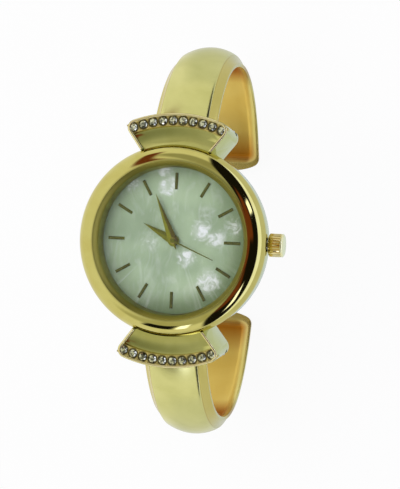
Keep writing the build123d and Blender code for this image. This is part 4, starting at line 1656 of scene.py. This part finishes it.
@dataclass
class BangleArms(SubAssembly):
    """The two bevelled arms that taper round the wrist to rounded tips.

    A turn is counted in radians round the arm's oval, from the top over the apex to the tip. A pair
    or a single share of the edges' round says where a point of the section lies beside its corner.
    """

    half_width: float = 34.9
    half_height: float = 25.5
    root_y: float = 19.6
    root_z: float = 3.4
    tip_y: float = 14.15
    root_width: float = 11.1
    tip_width: float = 9.9
    thickness: float = 2.5
    apex_swell: float = 0.9
    apex_crown: float = 0.75
    apex_power: int = 10
    barrel_length: float = 12.24
    barrel_radius: float = 1.15
    barrel_steps: int = 48
    hinge_y: float = 18.9
    side_wall: float = 0.6
    bevel_width: float = 1.2
    bevel_hollow: float = 0.1
    bevel_steps: int = 5
    crown_rise: float = 0.42
    crown_steps: int = 14
    pan_rim: float = 0.3
    pan_slant: float = 1.7
    pan_depth: float = 0.8
    pan_corner: float = 2.2
    pan_corner_steps: int = 8
    pan_steps: int = 8
    pan_floor_steps: int = 5
    pan_root_margin: float = 6.0
    pan_tip_margin: float = 1.5
    pan_tolerance: float = 0.1
    edge_round: float = 0.14
    brow_share: float = 0.3
    groove_depth: float = 0.24
    groove_steps: int = 2
    groove_side_shares: tuple[Pair, ...] = ((-0.2, 0.25), (0.05, 0.9))
    groove_floor_shares: Pair = (0.3, 0.9)
    bevel_foot_shares: Pair = (0.5, 0.6)
    wall_top_share: float = 0.4
    wall_foot_share: float = 0.3
    tip_bow: float = 1.5
    tip_corner: float = 1.6
    last_run: float = 0.01
    stations: int = 84
    tip_stations: int = 14
    smooth_angle: float = 34.0
    # How strong the painted light is: warm reflection at the pan's rim and near its ends and middle, shade
    # on the bevels.
    rim_warmth: float = 0.35
    bevel_warmth: float = 0.7
    end_warmth: float = 1.3
    end_warmth_run: float = 8.0
    apex_warmth_turn: float = 1.8

    def build(self) -> list[bpy.types.Object]:
        """Builds and dresses both arms.

        Returns:
            The two arms.
        """
        upper = self._arm("upper_bangle_arm")
        lower = self.bench.twin(upper, "lower_bangle_arm")
        for side, arm in ((Side.UPPER, upper), (Side.LOWER, lower)):
            self.bench.smooth(arm, self.smooth_angle)
            self.hand_over(arm, f"{side.word}_arm", f"{side.word}_arm", "arm_gold", ARM_GOLD)
        return [upper, lower]

    @property
    def root_turn(self) -> float:
        """The turn at which the arm leaves the lug."""
        return math.asin(self.root_y / self.half_width)

    @property
    def tip_turn(self) -> float:
        """The turn at which the arm ends."""
        return math.pi - math.asin(self.tip_y / self.half_width)

    @property
    def centre_z(self) -> float:
        """The height of the oval's centre."""
        return self.root_z - self.half_height * math.cos(self.root_turn)

    @property
    def tip_speed(self) -> float:
        """How many millimetres of the arm a radian passes at the tip."""
        sine, cosine = math.sin(self.tip_turn), math.cos(self.tip_turn)
        return math.hypot(self.half_width * cosine, self.half_height * sine)

    @property
    def pan_ends(self) -> Pair:
        """The turns at which the pan starts and ends."""
        start = self.root_turn + self.pan_root_margin / self.half_width
        return start, self.tip_turn - self.pan_tip_margin / self.half_width

    def _section(self, half: float, limit: float, pan_run: float, swell: float) -> list[Pair]:
        """Works out the arm's section at one station, no wider than the limit on each side.

        Args:
            half: half the width here.
            limit: the half width that the rounded tip leaves.
            pan_run: how far the nearer end of the inner pan is, less than 0 outside the pan.
            swell: the share of the apex's extra thickness and crown, from 0 to 1.

        Returns:
            Points across and outwards, the crown's middle at (0, 0).
        """
        crease = half - self.bevel_width
        thickness = self.thickness + self.apex_swell * swell
        rise = self.crown_rise + self.apex_crown * swell
        edge = self.side_wall - thickness
        size = self.edge_round
        crown = bowed((-crease, -rise), (crease, -rise), rise, self.crown_steps)
        brow = (crease - size, -rise + size * self.brow_share)
        crown = [(-brow[0], brow[1]), *crown[1:-1], brow]
        groove = [(crease + size * out, -rise - size * down) for out, down in self.groove_side_shares]
        groove += [(crease + size * out, -rise - self.groove_depth) for out in self.groove_floor_shares]
        bevel = bowed((crease, -rise), (half, edge), -self.bevel_hollow, self.bevel_steps)
        foot_in, foot_up = self.bevel_foot_shares
        right = [
            *groove,
            *bevel[self.groove_steps:-1],
            (half - size * foot_in, edge + size * foot_up),
            (half, edge - size * self.wall_top_share),
            (half, -thickness + size),
            (half - size * self.wall_foot_share, -thickness + size * self.wall_foot_share),
        ]
        outline = [*crown, *right, *self._inner_face(half, pan_run, thickness), *mirrored(right)]
        return [(max(-limit, min(limit, x)), y) for x, y in outline]

    def _inner_face(self, half: float, pan_run: float, thickness: float) -> list[Pair]:
        """Works out the section's inner side, with the pressed pan between its rims.

        Args:
            half: half the width here.
            pan_run: how far the nearer end of the pan is, less than 0 outside the pan.
            thickness: the arm's thickness here.

        Returns:
            Points from right to left, as in the section.
        """
        run = max(0.0, pan_run)
        short = max(0.0, self.pan_corner - run)
        mouth = half - self.pan_rim - self.pan_corner + math.sqrt(self.pan_corner**2 - short**2)
        depth = self.pan_depth * eased(unit(run / self.pan_slant))
        right = [(half - self.edge_round, -thickness)]
        for k in range(self.pan_steps + 1):
            share = k / self.pan_steps
            right.append((mouth - self.pan_slant * share, depth * eased(share) - thickness))
        foot = mouth - self.pan_slant
        steps = self.pan_floor_steps
        floor = [(foot * (1 - 2 * k / steps), depth - thickness) for k in range(1, steps)]
        return [*right, *floor, *mirrored(right)]

    def _tip_limit(self, run: float) -> float:
        """Works out half the width that the bowed tip with its round corners leaves.

        Args:
            run: how far the tip's end is.

        Returns:
            Half the width, or more than the arm has where the tip hasn't begun.
        """
        half = self.tip_width / 2
        bow = (half * half + self.tip_bow**2) / (2 * self.tip_bow)
        centre = bow - math.sqrt((bow - self.tip_corner) ** 2 - (half - self.tip_corner) ** 2)
        meet = bow - bow * (bow - centre) / (bow - self.tip_corner)
        if run < meet:
            return math.sqrt(max(0.0, 2 * bow * run - run * run))
        if run < centre:
            return half - self.tip_corner + math.sqrt(self.tip_corner**2 - (centre - run) ** 2)
        return self.root_width

    def _turns(self) -> list[float]:
        """Works out where the arm has its stations, close together at the tip and the pan's ends.

        Returns:
            Their turns in order.
        """
        tip_zone = (self.tip_bow + self.tip_corner) / self.tip_speed
        last = self.last_run / self.tip_speed
        whole = self.tip_turn - tip_zone - self.root_turn
        turns = [self.root_turn + whole * k / self.stations for k in range(self.stations + 1)]
        for k in range(1, self.tip_stations + 1):
            share = math.sin(math.pi / 2 * k / self.tip_stations)
            turns.append(self.tip_turn - last - (tip_zone - last) * (1 - share))
        start, end = self.pan_ends
        for k in range(self.pan_corner_steps):
            run = self.pan_corner * (1 - math.cos(math.pi / 2 * k / self.pan_corner_steps))
            turns += [start + run / self.half_width, end - run / self.half_width]
        return sorted(turns)

    def _station(self, turn: float) -> Ring:
        """Works out the arm's outline at one turn.

        Args:
            turn: the turn.

        Returns:
            Its points.
        """
        sine, cosine = math.sin(turn), math.cos(turn)
        crown = Vector((0, self.half_width * sine, self.centre_z + self.half_height * cosine))
        outward = Vector((0, self.half_height * sine, self.half_width * cosine)).normalized()
        share = (turn - self.root_turn) / (self.tip_turn - self.root_turn)
        half = (self.root_width + (self.tip_width - self.root_width) * share) / 2
        limit = self._tip_limit((self.tip_turn - turn) * self.tip_speed)
        start, end = self.pan_ends
        pan_run = min(turn - start, end - turn) * self.half_width
        section = self._section(half, limit, pan_run, self._swell(sine))
        return [crown + Vector((x, 0, 0)) + outward * y for x, y in section]

    def _arm(self, label: str) -> bpy.types.Object:
        """Sweeps the upper arm along the oval and joins it with its hinge barrel.

        Args:
            label: its name.

        Returns:
            The arm.
        """
        arm = self.bench.sweep(label, [self._station(turn) for turn in self._turns()])
        self._mark_ends(arm)
        self._mark_faces(arm)
        self.bench.clear()
        bpy.ops.mesh.primitive_cylinder_add(
            vertices=self.barrel_steps,
            radius=self.barrel_radius,
            depth=self.barrel_length,
            location=(0, self.hinge_y, 0),
            rotation=(0, math.pi / 2, 0),
        )
        barrel = self.bench.started("arm_barrel")
        self.bench.soften(barrel, self.edge_round)
        arm = self.bench.join([arm, barrel], label)
        self.bench.to_metres(arm)
        return arm

    def _swell(self, sine: float) -> float:
        """The share of the apex's extra thickness where the turn has this sine."""
        return max(0.0, sine) ** self.apex_power

    def _mark_ends(self, arm: bpy.types.Object) -> None:
        """Marks how near each point is to the pan's ends and the middle of the arm, where a warm reflection
        is painted.

        Args:
            arm: the arm, in millimetres.
        """
        marks = arm.data.attributes.new(WARM_REFLECTION_MARK, "FLOAT", "POINT")
        warm_turns = (*self.pan_ends, self.apex_warmth_turn)
        for k, vertex in enumerate(arm.data.vertices):
            up = (vertex.co.z - self.centre_z) / self.half_height
            turn = math.atan2(vertex.co.y / self.half_width, up)
            run = min(abs(turn - warm_turn) for warm_turn in warm_turns) * self.half_width
            marks.data[k].value = unit(self.end_warmth * (1 - run / self.end_warmth_run))

    def _mark_faces(self, arm: bpy.types.Object) -> None:
        """Marks how deep in the pan each inner face lies, for its matt finish and painted warm reflection,
        and the faces of the bevels, for their painted shade.

        Args:
            arm: the arm, in millimetres.
        """
        inside = arm.data.attributes.new(INSIDE_SATIN_AND_REFLECTION_MARK, "FLOAT", "FACE")
        bevel = arm.data.attributes.new(BEVEL_SHADE_MARK, "FLOAT", "FACE")
        for k, face in enumerate(arm.data.polygons):
            y = face.center.y / self.half_width
            z = (face.center.z - self.centre_z) / self.half_height
            reach = math.hypot(y, z)
            depth = (1 - reach) * reach / math.hypot(y / self.half_width, z / self.half_height)
            swell = self._swell(y / reach)
            thickness = self.thickness + self.apex_swell * swell
            inward = face.normal.y * y + face.normal.z * z < 0
            # Deeper in the pan the painted warm reflection grows; bevel faces get painted shade.
            if inward and depth > thickness - self.pan_depth - self.pan_tolerance:
                share = unit((thickness - depth) / self.pan_depth)
                inside.data[k].value = self.rim_warmth + (1 - self.rim_warmth) * share
            elif not inward and depth > self.crown_rise + self.apex_crown * swell:
                bevel.data[k].value = self.bevel_warmth


@dataclass
class WindingButton(SubAssembly):
    """The fluted button with its plain domed cap.

    Its outline is a list of stations. The foot's and the neck's are given by how far along and how
    far out they lie from their corner and by their share of the flutes' depth, the cap's by shares
    of the chamfer.
    """

    axis_z: float = 3.2
    start_x: float = 16.25
    radius: float = 2.0
    flute_length: float = 2.15
    flutes: int = 24
    flute_depth: float = 0.2
    flute_half_width: float = 0.26
    flute_power: float = 0.7
    points_per_flute: int = 10
    hollow_radius: float = 1.3
    hollow_depth: float = 1.5
    hollow_round: float = 0.05
    foot: tuple[Triple, ...] = ((0.0, -0.3, 0.0), (0.02, -0.22, 0.2), (0.12, -0.04, 0.8), (0.2, 0.0, 1.0))
    neck: tuple[Triple, ...] = (
        (-0.16, 0.0, 1.0),
        (-0.06, -0.02, 0.8),
        (-0.02, -0.1, 0.0),
        (0.04, -0.1, 0.0),
        (0.1, -0.02, 0.0),
        (0.16, 0.0, 0.0),
    )
    cap_length: float = 0.45
    chamfer: float = 0.25
    cap_shares: tuple[Pair, ...] = ((-1.2, 0.0), (-0.88, -0.12), (-0.28, -0.78))
    dome_share: float = 0.2
    dome_radius: float = 0.3
    dome_rise: float = 0.03
    dome_steps: int = 5
    middle_radius: float = 0.02
    smooth_angle: float = 38.0

    def build(self) -> list[bpy.types.Object]:
        """Builds and dresses the button.

        Returns:
            The button alone.
        """
        button = self.bench.sweep("fluted_button", [self._ring(*station) for station in self._stations()])
        self.bench.to_metres(button)
        self.bench.smooth(button, self.smooth_angle)
        self.cupboard.dress(button, BUTTON_GOLD)
        button.data.materials.append(self.cupboard.take(CAP_GOLD))
        for face in button.data.polygons:
            face.material_index = int(face.center.x > (self.start_x + self.flute_length) * MILLIMETRE)
        return [self.hand_over(button, "button", "winding_button", "button_gold")]

    def _stations(self) -> list[Triple]:
        """Works out the outline, from the bottom of the hollow round the skirt to the cap's middle.

        Returns:
            Each station's place along X, its radius and its share of the flutes' depth.
        """
        neck_x = self.start_x + self.flute_length
        end = neck_x + self.cap_length
        bottom = self.start_x + self.hollow_depth
        soft = self.hollow_round
        shoulder = (end - self.chamfer * self.dome_share, self.radius - self.chamfer)
        dome = bowed((end, self.dome_radius), shoulder, self.dome_rise, self.dome_steps)
        return [
            (bottom, soft, 0.0),
            (bottom, self.hollow_radius - soft, 0.0),
            (bottom - soft, self.hollow_radius, 0.0),
            (self.start_x + soft, self.hollow_radius, 0.0),
            (self.start_x, self.hollow_radius + soft, 0.0),
            *((self.start_x + x, self.radius + out, flute) for x, out, flute in self.foot),
            *((neck_x + x, self.radius + out, flute) for x, out, flute in self.neck),
            *((end + self.chamfer * x, self.radius + self.chamfer * out, 0.0) for x, out in self.cap_shares),
            *((x, radius, 0.0) for x, radius in reversed(dome)),
            (end, self.middle_radius, 0.0),
        ]

    def _ring(self, x: float, radius: float, flute: float) -> Ring:
        """Works out the button's outline at one station.

        Args:
            x: the place along the button.
            radius: the radius of the ridges.
            flute: the share of the flutes' depth.

        Returns:
            Its points.
        """
        count = self.flutes * self.points_per_flute
        points = []
        for k in range(count):
            phase = (k % self.points_per_flute) / self.points_per_flute
            groove = max(0.0, 1 - abs(phase - 0.5) / self.flute_half_width) ** self.flute_power
            reach = radius - self.flute_depth * flute * groove
            turn = 2 * math.pi * k / count
            points.append(Vector((x, reach * math.cos(turn), self.axis_z + reach * math.sin(turn))))
        return points


@dataclass
class Works(SubAssembly):
    """Every other piece: its shape comes from the frame, and it gets the finish of its slot."""

    def build(self) -> list[bpy.types.Object]:
        """Dresses every node of the frame.

        Returns:
            The dressed nodes.
        """
        slots = {part["node"]: part["material_slot"] for part in frame["record"]["subparts"]}
        for name, node in frame["nodes"].items():
            self.cupboard.dress(node, SLOT_FINISHES[slots[name]])
        return list(frame["nodes"].values())


@dataclass(frozen=True)
class Card:
    """A panel of the surroundings, by the turns round Z and the tilts from Z that it covers in degrees."""

    turns: Pair
    tilts: Pair
    colour: Colour
    soft: float = 3.0
    lean: float = 0.0

    def cover(self, turn: Signal, tilt: Signal) -> Signal:
        """How much of a direction the card covers; its sides lean by so many turns for each tilt."""
        leaning = turn + tilt * self.lean if self.lean else turn
        return leaning.window(*self.turns, self.soft) * tilt.window(*self.tilts, self.soft)


MID_OLIVE: Colour = (0.42, 0.42, 0.34)
PALE_OLIVE: Colour = (0.56, 0.56, 0.46)
WARM_BROWN: Colour = (0.2, 0.05, 0.02)
BLACK: Colour = (0.01, 0.009, 0.008)
WINDOW_LIGHT: Colour = (2.2, 2.3, 3.6)
CARDS = (
    Card((74, 120), (20, 56), MID_OLIVE, 7.0),
    Card((-140, -76), (18, 54), PALE_OLIVE, 8.0),
    Card((-79, 79), (5, 96), BLACK, 2.0),
    Card((4, 58), (4, 30), WARM_BROWN, 5.0),
    Card((-181, 181), (-6, 7), WARM_BROWN, 2.0),
    Card((-76, -44), (10, 34), WARM_BROWN, 5.0),
    Card((145, 159), (22, 70), WARM_BROWN, 3.0, 0.5),
    Card((-121, -101), (44, 68), BLACK, 2.0),
)
WINDOWS = (
    Card((27, 38), (37, 57), WINDOW_LIGHT, 2.0),
    Card((-22, -11), (39, 60), WINDOW_LIGHT, 2.0, 0.67),
    Card((-99, -91), (47, 67), WINDOW_LIGHT, 1.5),
)


@dataclass
class Studio:
    """Plain pale floor, soft surrounding light and the camera at the picture's viewing angle.

    The floor's places and the lamp's are in metres, the rest in millimetres, degrees and pixels.
    """

    bench: Bench
    yaw: float = 13.3
    pitch: float = 0.73
    roll: float = 2.61
    distance: float = 400.0
    pixels_per_millimetre: float = 5.84
    dial_pixel: Pair = (174.0, 240.6)
    frame_pixels: tuple[int, int] = (400, 489)
    dial_z: float = 5.4
    sensor: float = 36.0
    clip: Pair = (0.01, 20.0)
    dim_tilts: Pair = (10.0, 31.0)
    dim_tone: Colour = (0.28, 0.3, 0.25)
    pale_tone: Colour = (0.92, 0.92, 0.92)
    step_turns: Pair = (-74.0, 74.0)
    step_soft: float = 8.0
    step_slope: float = 0.74
    step_height: float = 0.23
    step_edges: Pair = (0.03, -0.02)
    step_tone: Colour = (1.3, 1.38, 2.0)
    floor_size: float = 6.0
    floor_tone: Colour = (0.9, 0.9, 0.9)
    # Tones of the floor's painted light, seen only in reflections.
    floor_pale_tone: Colour = (0.95, 0.95, 0.98)
    floor_pale_edges: Pair = (-0.2, -0.42)
    floor_middle: float = 0.001
    floor_mid_tone: Colour = (0.76, 0.78, 0.8)
    floor_near_tone: Colour = (0.7, 0.8, 0.95)
    floor_near_edges: Pair = (0.06, 0.035)
    floor_right_edges: Pair = (0.0, 0.008)
    floor_glow: float = 0.93
    lamp_place: Triple = (-0.15, 0.12, 0.7)
    lamp_width: float = 0.8
    lamp_power: float = 3.0

    def build(self) -> None:
        """Sets the light, the floor and the camera."""
        bpy.context.scene.view_settings.view_transform = "Standard"
        self._surroundings()
        self._lamp()
        self._floor()
        self._camera()

    def _turn(self) -> Matrix:
        """Works out how the camera looks.

        Returns:
            Its axes as rows: right, up and back.
        """
        about_y = Matrix.Rotation(-math.radians(self.yaw), 3, "Y")
        about_x = Matrix.Rotation(math.radians(self.pitch), 3, "X")
        about_z = Matrix.Rotation(-math.radians(self.roll), 3, "Z")
        return about_z @ about_x @ about_y

    def _camera(self) -> None:
        """Sets up the camera, with the dial's centre at its pixel."""
        width, height = self.frame_pixels
        right = (self.dial_pixel[0] - width / 2) / self.pixels_per_millimetre
        up = (height / 2 - self.dial_pixel[1]) / self.pixels_per_millimetre
        axes = self._turn().transposed()
        place = Vector((0, 0, self.dial_z)) + axes @ Vector((-right, -up, self.distance))
        lens = bpy.data.cameras.new("studio_camera")
        lens.sensor_fit = "HORIZONTAL"
        lens.sensor_width = self.sensor
        lens.lens = self.pixels_per_millimetre * self.distance * self.sensor / width
        lens.clip_start, lens.clip_end = self.clip
        camera = bpy.data.objects.new("studio_camera", lens)
        bpy.context.scene.collection.objects.link(camera)
        camera.matrix_world = Matrix.Translation(place * MILLIMETRE) @ axes.to_4x4()
        bpy.context.scene.camera = camera

    def _surroundings(self) -> None:
        """Makes the surroundings pale and dim behind the camera, with the cards and a bright step."""
        world = bpy.data.worlds.new("studio")
        bpy.context.scene.world = world
        world.use_nodes = True
        sheet = Sheet(world.node_tree)
        x, y, z = sheet.parts_of(sheet.add("ShaderNodeTexCoord", output="Generated"))
        tilt = x.reach(y).angle_to(z) * DEGREES_PER_RADIAN
        turn = y.angle_to(x) * DEGREES_PER_RADIAN
        colour = sheet.mix(tilt.rise(*self.dim_tilts), self.dim_tone, self.pale_tone)
        for card in CARDS:
            colour = sheet.mix(card.cover(turn, tilt), colour, card.colour)
        step = turn.window(*self.step_turns, self.step_soft)
        step = step * (z - self.step_slope * x + self.step_height).rise(*self.step_edges)
        colour = sheet.mix(step, colour, self.step_tone)
        for window in WINDOWS:
            colour = sheet.mix(window.cover(turn, tilt), colour, window.colour)
        colour = sheet.mix(sheet.add("ShaderNodeLightPath", output="Is Camera Ray"), colour, WHITE)
        light = sheet.add("ShaderNodeBackground", inputs={"Color": colour, "Strength": 1.0})
        sheet.add("ShaderNodeOutputWorld", inputs={"Surface": light})

    def _lamp(self) -> None:
        """Hangs one large soft lamp in front, which lights what is matt and isn't mirrored."""
        lamp = bpy.data.lights.new("soft_lamp", "AREA")
        lamp.shape = "DISK"
        lamp.size = self.lamp_width
        lamp.energy = self.lamp_power
        holder = bpy.data.objects.new("soft_lamp", lamp)
        bpy.context.scene.collection.objects.link(holder)
        place = Vector(self.lamp_place)
        holder.matrix_world = Matrix.Translation(place) @ place.to_track_quat("Z", "Y").to_matrix().to_4x4()
        holder.visible_glossy = False

    def _floor(self) -> None:
        """Lays the pale floor, white for the camera, with the object's shadow; in reflections it glows with
        painted light, paler on the left, dimmer on the right and bluish close to the watch on its right.
        """
        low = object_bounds()[0]
        self.bench.clear()
        bpy.ops.mesh.primitive_plane_add(size=self.floor_size, location=(0, 0, low[2]))
        floor = self.bench.started("studio_floor")
        material, sheet = new_sheet("studio_floor")
        x, y = sheet.level_place()
        # Painted light on the floor, seen in reflections: paler on the left, dimmer on the right, bluish
        # close by on the right.
        left = (x / y.size().larger(self.floor_middle)).rise(*self.floor_pale_edges)
        near = x.reach(y).rise(*self.floor_near_edges) * x.rise(*self.floor_right_edges)
        painted_reflected_tone = sheet.mix(left, self.floor_mid_tone, self.floor_pale_tone)
        painted_reflected_tone = sheet.mix(near, painted_reflected_tone, self.floor_near_tone)
        path = sheet.add("ShaderNodeLightPath", output="Is Camera Ray")
        glossy = sheet.output_of(path, "Is Glossy Ray")
        through = sheet.output_of(path, "Is Transmission Ray")
        seen = path.larger(glossy).larger(through) * self.floor_glow
        shown = sheet.mix(glossy, WHITE, painted_reflected_tone)
        matt = sheet.add("ShaderNodeBsdfDiffuse", inputs={"Color": self.floor_tone})
        bright = sheet.add("ShaderNodeEmission", inputs={"Color": shown, "Strength": 1.0})
        mixed = sheet.add("ShaderNodeMixShader", inputs={0: seen, 1: matt, 2: bright})
        sheet.add("ShaderNodeOutputMaterial", inputs={"Surface": mixed})
        floor.data.materials.append(material)
        floor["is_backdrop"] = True


def main() -> None:
    """Builds the studio and every sub-assembly and reports the pieces."""
    logging.basicConfig(level=logging.INFO, format="%(name)s: %(message)s")
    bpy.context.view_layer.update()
    bench = Bench()
    cupboard = FinishCupboard()
    row = StoneRow(bench, cupboard)
    Studio(bench).build()
    makers: list[SubAssembly] = [
        Works(bench, cupboard),
        WatchHead(bench, cupboard, row),
        row,
        BangleArms(bench, cupboard),
        WindingButton(bench, cupboard),
    ]
    for maker in makers:
        for piece in maker.build():
            LOG.info("%s: %d faces", piece.name, len(piece.data.polygons))
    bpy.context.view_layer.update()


if __name__ == "__main__":
    main()
